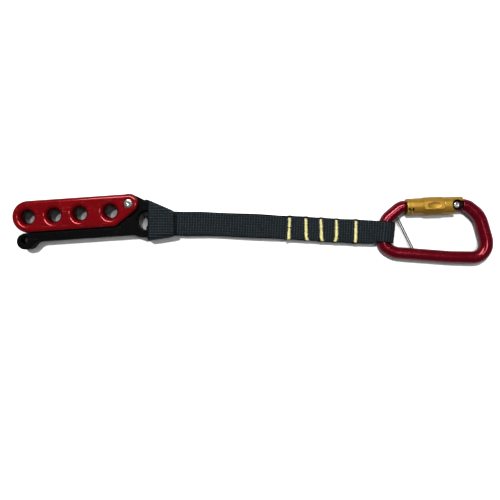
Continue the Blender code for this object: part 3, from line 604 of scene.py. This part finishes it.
def cam_frame():
    arm_top = BODY_BOTTOM - 0.4
    inner_at_arm = (TAB_R - arm_top * math.sin(FLANK_ANGLE)) / math.cos(FLANK_ANGLE)
    neck = math.radians(60.0)
    neck_at_right = (TAB_R - BAR_RIGHT * math.cos(neck)) / math.sin(neck)
    tab = arc((0, 0), TAB_R, 60, 305)
    lobe_left = LOBE_U - LOBE_R
    lobe_low = arm_top - 2 * LOBE_R
    rest = rounded((
        (*tab[-1], 0), (inner_at_arm, arm_top, 8.4), (lobe_left, arm_top, LOBE_R),
        (lobe_left, lobe_low, LOBE_R), (-97.0, lobe_low, 7.0), (-91.0, ARM_BOTTOM, 8.0),
        (3.0, ARM_BOTTOM, 8.0), (10.5, -33.6, 10.0), (BAR_RIGHT, -31.0, 7.0),
        (BAR_RIGHT, neck_at_right, 6.0), (*tab[0], 0),
    ), closed=False, step=4.0)
    low, high = MID - FRAME_HALF, MID + FRAME_HALF
    solid = prism("cam_frame_shell", apart(tab + rest[1:-1]), low, high, FRAME_EDGE_R, 5)
    left, bottom, right, top = WINDOW
    corners = ((left, bottom, 9.25), (right, bottom, 1.0), (right, top, 1.0), (left, top, 9.25))
    combine(solid, prism("window", rounded(corners, step=4.0), low, high, -LOBE_HOLE_EDGE, 5))
    eye = [(0, 16), (LOBE_HOLE_R + LOBE_HOLE_EDGE, 16)]
    eye += [(LOBE_HOLE_R + inset, high - drop) for drop, inset in quarter(LOBE_HOLE_EDGE, 5)][::-1]
    eye += [(r, 2 * MID - z) for r, z in reversed(eye)]
    hole = lathe("eye", eye, 48)
    hole.data.transform(Matrix.Translation((LOBE_U, arm_top - LOBE_R + LOBE_HOLE_RISE, 0)))
    combine(solid, hole)
    for side in (1, -1):
        low, high = sorted((MID + side * TAB_HALF, MID + side * 9))
        combine(solid, prism("relief", arc((0, 0), 13.5, 0, 357), low, high))
        low, high = sorted((MID + side * BAR_HALF, MID + side * 9))
        combine(solid, block("bar", (18.0, -45, low), (45, 20, high)))
    combine(solid, prism("bore", arc((0, 0), 4.2, 0, 355, 5), 0, 17))
    return dress(solid, DEVICE, black_anodise)


def pivot_rivet():
    top = BODY_THICK
    profile = [(0, top - 0.42), (0.5, top - 0.38), (1.1, top - 0.14), (1.7, top - 0.02), (2.6, top - 0.06),
               (3.4, top - 0.22), (3.9, top - 0.5), (HEAD_R, top - 0.9), (HEAD_R, top - 1.6),
               (SHANK_R, top - 1.6), (SHANK_R, 1.6), (HEAD_R, 1.6), (HEAD_R, 0.9), (3.9, 0.5),
               (3.4, 0.22), (2.4, 0.06), (0, 0)]
    return dress(lathe("pivot_rivet_fine", profile, 64), DEVICE, rivet_steel, 50)


stand_in(rope_body(), "rope_body", "rope_body")
stand_in(cam_frame(), "cam_frame", "cam_frame")
stand_in(pivot_rivet(), "rope_body", "pivot_rivet")


# ------------------------ carabiner

STOCK_R = 6.0
LIMB_R = 6.6                    # the limb opposite the eye is wider
LIMB_START = (322.0, -57.0)
LIMB_FADE = 14.0
CORNERS = ((338.6, -11.6, 22.0), (345.3, -34.9, 24.0), (345.0, -52.1, 13.2), (311.0, -51.35, 120.0),
           (256.0, -47.2, 20.0), (244.9, -40.3, 7.5), (247.9, -15.1, 12.5))
NOSE_LENGTH = 48.8
NOSE_TIP = 42.6
NOSE_TONGUE = (-2.2, 4.4)
CHEEK_INNER = 3.25
GATE_END = 48.2
GRIP = (12.1, 32.2)
GRIP_FLAT = 8.4
WIRE_TOP = Vector((258.4, -12.0))
WIRE_FOOT = Vector((274.9, -45.2))
WIRE_R = 0.65
WIRE_PITCH = 1.75
WIRE_ALONG = (WIRE_FOOT - WIRE_TOP).normalized()
BAR_END_R = 0.9                 # rounding of both cut ends of the bar
TONGUE_HALF = 2.9               # half the thickness of the hinge tongue
NOSE_HALF = 1.9


def on_gate(s):
    """Millimetres in plan of the point at distance s from the hinge towards the nose."""
    point = GATE @ Vector((-s, 0, 0)) / MM
    return point.x, point.y


def shifted(obj, matrix):
    obj.data.transform(matrix)
    return obj


def bar_radius(x, y):
    share = smooth((x - LIMB_START[0]) / LIMB_FADE) * smooth((y - LIMB_START[1]) / LIMB_FADE)
    return STOCK_R + (LIMB_R - STOCK_R) * float(share)


def carabiner_frame():
    corners = ((*on_gate(-6.5), 0), (*on_gate(-11.0), 10.5), *CORNERS, (*on_gate(52.5), 10.0),
               (*on_gate(NOSE_LENGTH), 0))
    path = rounded(corners, closed=False, step=3.0)
    first, last = path[0], path[-1]
    path = [p for p in path if min(math.dist(p, first), math.dist(p, last)) > 1.2]
    path = np.array([first, *path, last])
    ends = []
    for end, inner in ((path[0], path[1]), (path[-1], path[-2])):
        step = (inner - end) / np.linalg.norm(inner - end)
        ends.append([(end + step * d, STOCK_R - BAR_END_R * (1 - math.sqrt(1 - (1 - d / BAR_END_R) ** 2)))
                     for d in (0.0, 0.1, 0.3, 0.55, BAR_END_R)])
    run = ends[0] + [(point, bar_radius(*point)) for point in path[1:-1]] + ends[1][::-1]
    bar = pipe("carabiner_bar", [(*point, MID) for point, _ in run], [radius for _, radius in run], 64)
    to_gate = FLAT.inverted() @ GATE
    outline = arc((0, 0), 5.0, 90, 270) + [(9, -5.0), (9, 5.0)]
    combine(bar, shifted(prism("tongue", outline, -TONGUE_HALF, TONGUE_HALF), to_gate), "UNION")
    low, high = NOSE_TONGUE
    back = -NOSE_LENGTH - 4
    outline = rounded(((back, low, 0), (-NOSE_TIP, low, 1.2), (-NOSE_TIP, high, 1.2), (back, high, 0)))
    combine(bar, shifted(prism("nose", outline, -NOSE_HALF, NOSE_HALF), to_gate), "UNION")
    combine(bar, shifted(prism("bore", arc((0, 0), 2.4, 0, 350, 10), -9, 9), to_gate))
    half_wide = WIRE_PITCH / 2 + WIRE_R + 0.3
    turn = Matrix.Rotation(math.atan2(WIRE_ALONG.y, WIRE_ALONG.x), 4, "Z")
    for point, low, high in ((WIRE_TOP, -1.05, 9.0), (WIRE_FOOT, -9.0, 1.05)):
        socket = block("socket", (low, -half_wide, -0.95), (high, half_wide, 0.95))
        combine(bar, shifted(socket, Matrix.Translation((point.x, point.y, MID)) @ turn))
    return dress(bar, FLAT, carabiner_red)


def captive_wire():
    across = Vector((-WIRE_ALONG.y, WIRE_ALONG.x)) * WIRE_PITCH / 2
    bend = WIRE_TOP + WIRE_ALONG * (WIRE_R + 0.9)
    points = [WIRE_FOOT + across]
    for i in range(13):
        turn = math.pi * i / 12
        points.append(bend + across * math.cos(turn) - WIRE_ALONG * math.sin(turn) * WIRE_PITCH / 2)
    points.append(WIRE_FOOT - across)
    wire = pipe("captive_wire_fine", [(p.x, p.y, MID) for p in points], WIRE_R, 16)
    return dress(wire, FLAT, wire_steel, 60)


def gate():
    profile = [(0, GATE_END), (4.4, GATE_END), (4.83, GATE_END - 0.17), (5.0, GATE_END - 0.6), (5.0, 14.3),
               (5.1, 14.05), (5.7, 14.0), (6.0, 13.7), (6.0, -5.4), (0, -5.4)]
    shaft = lathe("gate_shaft", [(r, -z) for r, z in profile], 96, "X")
    combine(shaft, block("fork", (-5.4, -8, -CHEEK_INNER), (12, 8, CHEEK_INNER)))
    end = [(0, -12), (12, -12), (12, 12), (0, 12)] + arc((0, 0), 5.8, 90, -90, 4)
    combine(shaft, prism("end", end, -9, 9))
    low = NOSE_TONGUE[0] - 0.4
    combine(shaft, block("nose_slot", (-GATE_END - 2, low, -2.2), (1.3 - NOSE_TIP, 9, 2.2)))
    seat = 4.8
    bore = [(0, 9), (3.1, 9), (3.1, seat), (2.25, seat), (2.25, -seat), (3.1, -seat), (3.1, -9), (0, -9)]
    combine(shaft, lathe("bore", bore, 48))
    combine(shaft, lathe("plunger_bore", [(0, 0), (1.85, 0), (1.85, -24), (0, -24)], 32, "X"))
    return dress(shaft, GATE, gate_alloy)


def gate_rivet():
    profile = [(0, 5.0), (0.55, 5.02), (0.95, 5.3), (1.2, 5.72), (1.6, 5.8), (2.2, 5.76), (2.6, 5.62),
               (2.8, 5.35), (2.8, 5.0), (2.1, 5.0), (2.1, -5.0), (2.8, -5.0), (2.8, -5.35), (2.6, -5.62),
               (2.2, -5.76), (0, -5.8)]
    return dress(lathe("gate_rivet_fine", profile, 48), GATE, rivet_steel, 50)


def lock_sleeve():
    nose, front, back = 47.7, 8.0, 8.4
    low, high = GRIP
    profile = [(0, nose), (front - 0.5, nose), (front - 0.15, nose - 0.15), (front, nose - 0.5),
               (front, nose - 2.2), (front - 0.35, nose - 2.35), (front - 0.35, nose - 2.75),
               (front, nose - 2.9), (front, high - 0.4), (back - 0.3, high - 0.9), (back - 0.3, low + 0.5),
               (back, low - 0.6), (back, -5.9), (back - 0.15, -6.3), (back - 0.6, -6.5), (0, -6.5)]
    sleeve = lathe("sleeve_fine", [(r, -z) for r, z in profile], 128, "X")
    corner = GRIP_FLAT / math.cos(math.pi / 8)
    ring = [(corner * math.cos(math.pi / 8 * i), corner * math.sin(math.pi / 8 * i)) for i in range(1, 16, 2)]
    grip = loft("grip", [[(-s, y, z) for y, z in ring] for s in GRIP])
    cone = [(0, low - 0.1), (8.2, low - 0.1), (9.3, low + 1.9), (9.3, high - 1.9), (8.2, high + 0.1),
            (0, high + 0.1)]
    combine(grip, lathe("cone", [(r, -s) for r, s in cone], 96, "X"), "INTERSECT")
    combine(sleeve, grip, "UNION")
    bore = [(0, 20), (6.6, 20), (6.6, -31.6), (5.5, -31.6), (5.5, -60), (0, -60)]
    combine(sleeve, lathe("bore", bore, 96, "X"))
    combine(sleeve, block("mouth", (-nose - 2, 1.5, -2.45), (-40.4, 12, 2.45)))
    combine(sleeve, block("end", (-1.5, -12, -12), (12, 4.0, 12)))
    combine(sleeve, prism("hinge_window", arc((0, 0), 5.2, 0, 356, 4), -12, 12))
    middle = -sum(GRIP) / 2
    for side in (1, -1):
        hollow = lathe("thumb", [(math.sin(a), math.cos(a)) for a in np.linspace(0, math.pi, 17)], 64)
        centre = Matrix.Translation((middle, 0, side * (GRIP_FLAT + 0.6)))
        combine(sleeve, shifted(hollow, centre @ Matrix.Diagonal((7.9, 3.5, 1.25, 1))))
    for x in (-46.6, -42.9):
        combine(sleeve, block("guide", (x, -6.4, 3.5), (x + 1.7, -1.9, 12)))
    combine(sleeve, block("guide_bridge", (-45.4, -4.9, 3.5), (-42.4, -3.5, 12)))
    return dress(sleeve, GATE, gold_anodise, 24)


COIL_SIDES = 24
COIL_CROWDING = 0.35            # how much closer the coils lie at both ends


def spring(node_name, start, end, mean_r, wire_r, turns):
    """A compression spring along the gate's axis, in place of the named node."""
    points = []
    steps = turns * COIL_SIDES
    for i in range(steps + 1):
        share = i / steps
        eased = share - COIL_CROWDING * math.sin(2 * math.pi * share) / (2 * math.pi)
        angle = 2 * math.pi * i / COIL_SIDES
        along = start + (end - start) * eased
        points.append((-along, mean_r * math.cos(angle), mean_r * math.sin(angle)))
    coil = pipe(node_name + "_fine", points, wire_r, 10)
    dress(coil, GATE, steel, 60)
    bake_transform(coil)
    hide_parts(node_name)


stand_in(carabiner_frame(), "carabiner", "carabiner_frame")
stand_in(captive_wire(), "carabiner", "captive_wire")
stand_in(gate_rivet(), "carabiner", "gate_rivet")
stand_in(gate(), "gate", "gate")
stand_in(lock_sleeve(), "lock_sleeve", "lock_sleeve")
spring("gate_spring", 11.2, 23.4, 1.3, 0.25, 9)
spring("sleeve_spring", 14.8, 29.8, 5.8, 0.4, 6)


# ------------------------ webbing

LAYER = 1.7                     # thickness of one layer
PITCH = 2.05                    # distance between the layers
STEP_A = PICK / 5               # mesh spacing along and across
STEP_B = WARP / 5


def weave_height(a, b):
    """Height of the cloth's pattern in mm at a along and b across."""
    near_rib = np.abs((a / PICK + 0.5) % 1 - 0.5)
    near_row = np.abs((b / WARP + 0.5) % 1 - 0.5)
    pillow = (1 - (1 - 2 * near_rib) ** 3) * (1 - (1 - 2 * near_row) ** 3)
    other = ((np.floor(a / PICK) + np.floor(b / WARP)) % 2) * 0.25
    rib = np.exp(-((near_rib * PICK / 0.34) ** 2))
    return 0.17 * pillow * (0.85 + other) + 0.12 * rib - 0.1


def cloth(name, surface, a_range, half, thick=LAYER, where=FLAT, step=1.0):
    """A closed woven strip. surface(a, b) gives mid-surface points in mm; half is its half width."""
    count_a = max(2, round((a_range[1] - a_range[0]) / (STEP_A * step)))
    count_b = max(4, round(2 * half / (STEP_B * step)))
    a = np.linspace(a_range[0], a_range[1], count_a + 1)[:, None]
    b = np.linspace(-half, half, count_b + 1)[None, :]
    a, b = np.broadcast_arrays(a, b)
    middle = surface(a, b)
    tiny = 0.02
    da = surface(a + tiny, b) - surface(a - tiny, b)
    db = surface(a, b + tiny) - surface(a, b - tiny)
    normal = np.cross(da, db)
    normal /= np.linalg.norm(normal, axis=2)[:, :, None] + 1e-12
    fade = np.sqrt(np.clip(1 - (np.abs(b) / half) ** 10, 0, 1))
    depth = (thick / 2 + weave_height(a, b)) * fade
    front = middle + normal * depth[:, :, None]
    rear = middle - normal * depth[:, :, None]
    loop = np.concatenate((front, rear[:, -2:0:-1]), axis=1)
    per_row = loop.shape[1]
    verts = loop.reshape(-1, 3)
    faces = ring_faces(count_a + 1, per_row)
    for row in (0, count_a):
        base = row * per_row
        for i in range(count_b):
            below = ((per_row - i - 1) % per_row, (per_row - i) % per_row)
            face = []
            for v in (base + i, base + i + 1, base + below[0], base + below[1]):
                if v not in face:
                    face.append(v)
            faces.append(tuple(face))
    obj = new_object(name, verts, faces)
    edge = half - np.abs(b)
    strip = np.stack((a, b, edge), axis=2)
    strip = np.concatenate((strip, strip[:, -2:0:-1]), axis=1).reshape(-1, 3)
    attribute = obj.data.attributes.new("strip", "FLOAT_VECTOR", "POINT")
    attribute.data.foreach_set("vector", strip.astype(np.float32).ravel())
    obj.data.transform(where)
    outward(obj)
    obj.data.shade_smooth()
    obj.data.set_sharp_from_angle(angle=math.radians(70))
    obj.data.materials.append(webbing)
    return obj


# Plan line of the strap in its own frame: straight, then it turns a little into the eye
EYE_TURN = math.atan2((STRAP.inverted() @ EYE).col[0].y, (STRAP.inverted() @ EYE).col[0].x)
PLAN_X = np.linspace(-30, EYE_AT + 30, 800)
PLAN_ANGLE = 0.7 * EYE_TURN * smooth((PLAN_X - (EYE_AT - 12.0)) / 10.6)
PLAN_Y = np.concatenate(((0.0,), np.cumsum(np.tan(PLAN_ANGLE[1:]) * np.diff(PLAN_X))))
BOW = 1.05                      # the lying strap is a little off its straight line
PLAN_Y += BOW * smooth(PLAN_X / 30.0) * (1 - 0.6 * smooth((PLAN_X - 112.0) / 45.0))
TACKS_X = [(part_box(f"bartack_{n}")[0][0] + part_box(f"bartack_{n}")[1][0]) / 2 for n in range(1, 6)]
TACKS = [(STRAP.inverted() @ Vector((x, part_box("bartack_1")[0][1], 0))).x for x in TACKS_X]


def on_strap(x, b, z):
    """Points in the strap's frame from x along it, b across it and z above its middle."""
    angle = np.interp(x, PLAN_X, PLAN_ANGLE)
    centre = np.interp(x, PLAN_X, PLAN_Y)
    return np.stack((x - b * np.sin(angle), centre + b * np.cos(angle), z), axis=-1)


def ripple(x, b):
    """Slow unevenness of the lying strap in mm."""
    return 0.22 * np.sin(x * 0.085 + 0.6) + 0.16 * np.sin(x * 0.19 + b * 0.11 + 2.0) * (b / 11.5)


def pinch(x):
    """How strongly the bartacks press the layers together, 0 to 1."""
    return sum(np.exp(-((x - at) / 2.0) ** 2) for at in TACKS)


def leg_surface(level, drift):
    def surface(x, b):
        across = b * (1 + 0.012 * np.sin(x * 0.11 + level)) + drift * np.sin(x * 0.052 + 1.0)
        return on_strap(x, across, level * PITCH + ripple(x, b) * leg_free(x))
    return surface


def leg_free(x):
    """Unevenness fades out where the sewn part starts."""
    return 1 - smooth((x - SEWN_AT + 14) / 10)


LEG_START = -9.5
LEG_SPLIT = 51.0
SEWN_START = SEWN_AT + 2.4
LEG_HALF = 11.5
for level, drift, label in ((0.5, 0.0, "front"), (-0.5, -0.35, "rear")):
    surface = leg_surface(level, drift)
    first = cloth(f"leg_{label}_hitch_end", surface, (LEG_START, LEG_SPLIT), LEG_HALF, where=STRAP)
    second = cloth(f"leg_{label}_sewn_end", surface, (LEG_SPLIT, SEWN_START), LEG_HALF, where=STRAP)
    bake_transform(first)
    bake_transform(second)
    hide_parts(f"tether_leg_{label}")
    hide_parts(f"tether_leg_{label}")


EYE_MID_R = 7.7
EYE_STRETCH = 1.05              # the eye is a little longer than high
EYE_SHIFT = 0.4
EYE_ROOT = EYE_AT - 15.0
SWING = math.radians(105)
LOW_EDGE_CUT = 0.18             # the lower edge clears the bend of the bar


def loop_path():
    """The front layer, round the carabiner and back as the rear layer, as (x, z) with its length."""
    front = [(x, PITCH) for x in np.arange(SEWN_START, EYE_ROOT, 0.5)]
    ring = [(EYE_AT + EYE_SHIFT + (EYE_MID_R + EYE_STRETCH) * math.cos(t), EYE_MID_R * math.sin(t))
            for t in np.linspace(SWING, -SWING, 60)]
    path = front + smooth_join((EYE_ROOT, PITCH), ring[0]) + ring
    path += smooth_join((EYE_ROOT, -PITCH), ring[-1])[::-1]
    path += [(x, -z) for x, z in front[::-1]]
    return np.array(path), distances(path)


def distances(path):
    """Distance along a path at each of its points."""
    steps = np.linalg.norm(np.diff(path, axis=0), axis=1)
    return np.concatenate(((0.0,), np.cumsum(steps)))


def smooth_join(start, end):
    """A gentle S from the flat layers to the ring, without its end points."""
    points = []
    for i in range(1, 14):
        share = i / 14
        eased = share * share * (3 - 2 * share) * 0.45 + share * share * 0.55
        points.append((start[0] + (end[0] - start[0]) * share, start[1] + (end[1] - start[1]) * eased))
    return points


LOOP, LOOP_LENGTH = loop_path()


def loop_surface(a, b):
    x = np.interp(a, LOOP_LENGTH, LOOP[:, 0])
    z = np.interp(a, LOOP_LENGTH, LOOP[:, 1])
    low_edge = smooth((x - EYE_AT + 12.0) / 7.0) * smooth(-b / 6)
    narrow = 1 - 0.035 * smooth((x - EYE_ROOT) / 8) - LOW_EDGE_CUT * low_edge
    press = pinch(x)
    z = z - np.sign(z) * 0.34 * press + 0.10 * np.sin(x * 0.3 + b * 0.15) * (1 - press) * (np.abs(z) > 1)
    wide = 1 + 0.042 * press + 0.008 * np.sin(x * 0.23)
    return on_strap(x, b * narrow * wide, z)


loop = cloth("sewn_loop", loop_surface, (0.0, LOOP_LENGTH[-1]), LEG_HALF, where=STRAP)
stand_in(loop, "tether_sewn", "sewn_tail", "sewn_rear", "tether_eye")


def middle_surface(x, b):
    return on_strap(x, b * 0.985 + 0.15, np.zeros_like(x))


middle_layer = cloth("sewn_middle_cloth", middle_surface, (SEWN_START, EYE_ROOT + 1.5), LEG_HALF, thick=1.5,
                     where=STRAP, step=1.6)
stand_in(middle_layer, "tether_sewn", "sewn_middle")

# The heat-sealed cut end of the tail, with a lump at its lower corner
rough_edge = random.Random(7)
seal, seal_r = [], []
for i in range(48):
    b = -LEG_HALF + 2 * LEG_HALF * i / 47
    x = SEWN_START - 0.15 + rough_edge.uniform(-0.12, 0.12)
    seal.append((x, b + 0.1, PITCH + rough_edge.uniform(-0.1, 0.1)))
    seal_r.append(0.72 + rough_edge.uniform(-0.1, 0.14) + 0.55 * math.exp(-((b + LEG_HALF - 0.6) / 1.2) ** 2))
seal_end = pipe("tail_seal", seal, seal_r, 14)
dress(seal_end, STRAP, melted, 60)
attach(seal_end, "tether_sewn")


# ------------------------ bartacks

TACK_LENGTH = 20.4
TACK_HALF = 1.36                # half width of the zigzag
THREAD_R = 0.27
CORE_R = 0.34                   # the straight threads under the zigzag
STITCHES = 46
PRESSED = 0.22                  # how far a tack sinks into the face of the webbing
# lean of the lower end, hook at the lower end, where along the length it is left open
TACK_SHAPES = ((0.3, 0.0, 0.45), (1.3, 1.1, None), (1.6, 0.9, None), (0.9, -1.3, None), (0.7, 0.0, None))


def bartack(number, at, shape):
    draw = random.Random(40 + number)
    lean, hook, gap = shape
    runs = []

    def middle(share):
        return at + lean * (share - 0.4) + hook * max(0.0, share - 0.86) / 0.14

    for side in (1, -1):
        level = side * (PITCH + LAYER / 2 - PRESSED)
        points = []
        for i in range(STITCHES * 2 + 1):
            share = i / (STITCHES * 2)
            y = TACK_LENGTH / 2 - share * TACK_LENGTH
            centre = middle(share)
            reach = (TACK_HALF + draw.uniform(-0.42, 0.46)) * (1 if i % 2 else -1)
            if gap and abs(share - gap) < 0.034:
                reach *= 0.25
            edge = abs(y) / (TACK_LENGTH / 2)
            lift = level + side * (0.1 + 0.22 * (1 - edge ** 6) + draw.uniform(-0.04, 0.04))
            points.append((centre + reach, y + draw.uniform(-0.16, 0.16), lift - side * 0.16))
            points.append((centre + reach * 0.35, y - TACK_LENGTH / STITCHES / 6, lift + side * 0.1))
        runs.append((points, THREAD_R))
        core = []
        for i in range(25):
            share = i / 24
            sunk = 0.75 if gap and abs(share - gap) < 0.06 else 0.12
            y = TACK_LENGTH / 2 - 0.3 - share * (TACK_LENGTH - 0.6)
            core.append((middle(share), y, level - side * sunk))
        for offset in (-0.75, 0.0, 0.75):
            runs.append(([(x + offset, y, z) for x, y, z in core], CORE_R))
    for i in range(9):
        y = TACK_LENGTH / 2 - 1.4 - i * (TACK_LENGTH - 2.8) / 8
        x = at + lean * (0.1 - y / TACK_LENGTH)
        runs.append(([(x, y, 3.0 - t) for t in (0, 2, 4, 6)], 0.22))
    piece = many_pipes(f"bartack_{number}_stitches", runs)
    piece.data.transform(STRAP)
    outward(piece)
    piece.data.shade_smooth()
    piece.data.materials.append(thread)
    stand_in(piece, "tether_sewn", f"bartack_{number}")


for number, (at, shape) in enumerate(zip(TACKS, TACK_SHAPES), 1):
    bartack(number, at, shape)


# ------------------------ hitch

HITCH_LOW, HITCH_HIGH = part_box("hitch_bight")
FLAP_LEFT = HITCH_LOW[0] / MM
FLAP_RIGHT = HITCH_HIGH[0] / MM
FLAP_MID = (FLAP_LEFT + FLAP_RIGHT) / 2
FLAP_HALF = (FLAP_RIGHT - FLAP_LEFT) / 2
FLAP_TOP = (3.9, -7.4)          # y of the upper fold at the left and right edges
FLAP_LOW = (-35.4, -31.3)
FLAP_CENTRE = -16.0
FLAP_REACH = 52.0               # how far each end reaches round towards the window
FOLD_R = 3.0
FLAP_Z = HITCH_HIGH[2] / MM - LAYER / 2
BACK_Z = 1.4
GATHER = (19.0, -17.0)          # where the ends meet behind the window, descender's frame
GATHER_HALF = 5.5


def fold_line(ends, x):
    slope = (ends[1] - ends[0]) / (FLAP_RIGHT - FLAP_LEFT)
    return ends[0] + slope * (x - FLAP_LEFT), slope


def flap_surface(a, b):
    """The crossing bight: flat in front, folded down on both sides and gathered into the window."""
    x = FLAP_MID + b
    y = FLAP_CENTRE + a
    z = FLAP_Z + 0.22 * np.sin(0.23 * x + 0.4) * np.sin(0.19 * y + 0.8)
    out = np.stack((x, y, z), axis=-1)
    fall = FLAP_Z - BACK_Z
    wall = fall - 2 * FOLD_R
    arc_length = FOLD_R * math.pi / 2
    back_starts = 2 * arc_length + wall
    for ends, sign in ((FLAP_TOP, 1), (FLAP_LOW, -1)):
        edge_y, slope = fold_line(ends, x)
        cosine = 1 / math.hypot(1, slope)
        px, py = -slope * cosine * sign, cosine * sign
        start = edge_y - sign * (FOLD_R + LAYER / 2) / cosine
        d = (y - start) * sign * cosine
        first = np.clip(d / FOLD_R, 0, math.pi / 2)
        second = np.clip((d - arc_length - wall) / FOLD_R, 0, math.pi / 2)
        down = np.clip(d - arc_length, 0, wall)
        beyond = np.clip(d - back_starts, 0, None)
        reach = FOLD_R * np.sin(first) - FOLD_R * (1 - np.cos(second)) - beyond
        drop = FOLD_R * (1 - np.cos(first)) + down + FOLD_R * np.sin(second)
        folded = np.stack((x - d * px + reach * px, y - d * py + reach * py, z - drop), axis=-1)
        last = (FLAP_CENTRE + sign * FLAP_REACH - start) * sign * cosine
        share = np.clip((d - back_starts) / np.maximum(last - back_starts, 1.0), 0, 1)
        gather = smooth(share)[..., None]
        u = GATHER[0] + b * 0.30
        v = GATHER[1] + sign * GATHER_HALF
        cos_t, sin_t = math.cos(BODY_TILT), math.sin(BODY_TILT)
        rise = BACK_Z + 4.6 * smooth((share - 0.6) / 0.4)
        target = np.stack((u * cos_t - v * sin_t, u * sin_t + v * cos_t, rise), axis=-1)
        mixed = folded * (1 - gather) + target * gather
        mixed[..., 2] = np.where(share > 0, rise, folded[..., 2])
        out = np.where((d > 0)[..., None], mixed, out)
    return out


flap = cloth("hitch_band", flap_surface, (-FLAP_REACH, FLAP_REACH), FLAP_HALF)
stand_in(flap, "cam_frame", "hitch_bight")


def wrap_path():
    """The doubled webbing over the bar's front, through the window and back behind it, as (u, z)."""
    corners = ((41.0, MID + 1.1, 0), (36.0, MID + 1.4, 6.0), (32.5, 13.5, 3.0), (17.0, 13.5, 4.2),
               (17.0, 3.5, 4.2), (33.0, 3.5, 3.0), (36.5, MID - 1.4, 5.0), (41.0, MID - 1.1, 0))
    path = np.array(rounded(corners, closed=False, step=6.0))
    dense = [path[0]]
    for first, second in zip(path, path[1:]):
        count = max(1, int(np.linalg.norm(second - first) / 0.5))
        dense += [first + (second - first) * i / count for i in range(1, count + 1)]
    return np.array(dense), distances(dense)


WRAP, WRAP_LENGTH = wrap_path()
WRAP_HALF = 8.3
WRAP_V = -17.0                  # height of its middle line in the window


def wrap_surface(a, b):
    u = np.interp(a, WRAP_LENGTH, WRAP[:, 0])
    z = np.interp(a, WRAP_LENGTH, WRAP[:, 1])
    bulge = (26.5 - (17.2 - 0.5 * b)) / 9.5
    u = np.where(u < 26.5, 26.5 - (26.5 - u) * bulge, u)
    spread = 1 + 0.32 * smooth((u - 31) / 7)
    v = WRAP_V - 4.3 * smooth((u - 31) / 8) + b * spread
    z = z + 0.2 * np.sin(0.5 * b + 0.2 * u)
    return np.stack((u, v, z), axis=-1)


wrap = cloth("hitch_wrap_cloth", wrap_surface, (0.0, WRAP_LENGTH[-1]), WRAP_HALF, where=DEVICE)
stand_in(wrap, "cam_frame", "hitch_wrap")


# ------------------------ stage

FLOOR = ((-4, -4), (4, -4), (4, 4), (-4, 4))
FLOOR_Z = -0.0002
floor = new_object("floor", [(x, y, FLOOR_Z) for x, y in FLOOR], [(0, 1, 2, 3)])
floor.data.materials.append(paper("pale_floor", (0.92, 0.92, 0.92)))

HALF_VIEW = math.atan(0.439367)
camera_data = bpy.data.cameras.new("camera")
camera_data.angle = 2 * HALF_VIEW
camera_data.clip_start = 0.01
camera = bpy.data.objects.new("camera", camera_data)
camera.location = (0.1165, -0.0445, 0.560)      # it looks straight down
bpy.context.scene.collection.objects.link(camera)
bpy.context.scene.camera = camera


def aim(obj, target):
    obj.rotation_euler = (Vector(target) - obj.location).to_track_quat("-Z", "Y").to_euler()


def light(name, kind, location, target, energy, glossy=True, **settings):
    """A lamp; with glossy off, polished surfaces don't mirror it."""
    data = bpy.data.lights.new(name, kind)
    data.energy = energy
    for key, value in settings.items():
        setattr(data, key, value)
    obj = bpy.data.objects.new(name, data)
    obj.location = location
    obj.visible_glossy = glossy
    aim(obj, target)
    bpy.context.scene.collection.objects.link(obj)
    return obj


CENTRE = (0.11, -0.02, 0.0)
light("key", "SUN", (-3.5, 4.3, 15.0), (0, 0, 0), 3.6, glossy=False, angle=math.radians(4.5))
light("top_panel", "AREA", (0.20, 0.85, 0.95), CENTRE, 4.0, glossy=False,
      shape="RECTANGLE", size=0.6, size_y=0.22)
light("rim_panel", "AREA", (0.03, 0.48, 0.80), (0.03, 0.0, 0.0), 7.4,
      shape="RECTANGLE", size=0.74, size_y=0.14)
light("strip", "AREA", (0.38, 0.03, 1.0), (0.28, -0.04, 0.0), 1.5,
      shape="RECTANGLE", size=0.06, size_y=0.30)

BACKDROP = 0.20                 # light of the room on matt surfaces
MIRRORED = 0.045                # what polished surfaces see of it
world = bpy.data.worlds.new("studio")
world.use_nodes = True
sky = world.node_tree
path = sky.nodes.new("ShaderNodeLightPath")
level = sky.nodes.new("ShaderNodeMapRange")
level.inputs[3].default_value = BACKDROP
level.inputs[4].default_value = MIRRORED
sky.links.new(path.outputs["Is Glossy Ray"], level.inputs[0])
sky.links.new(level.outputs[0], sky.nodes["Background"].inputs["Strength"])
sky.nodes["Background"].inputs["Color"].default_value = (0.96, 0.98, 1.0, 1.0)
bpy.context.scene.world = world
bpy.context.scene.view_settings.view_transform = "Standard"
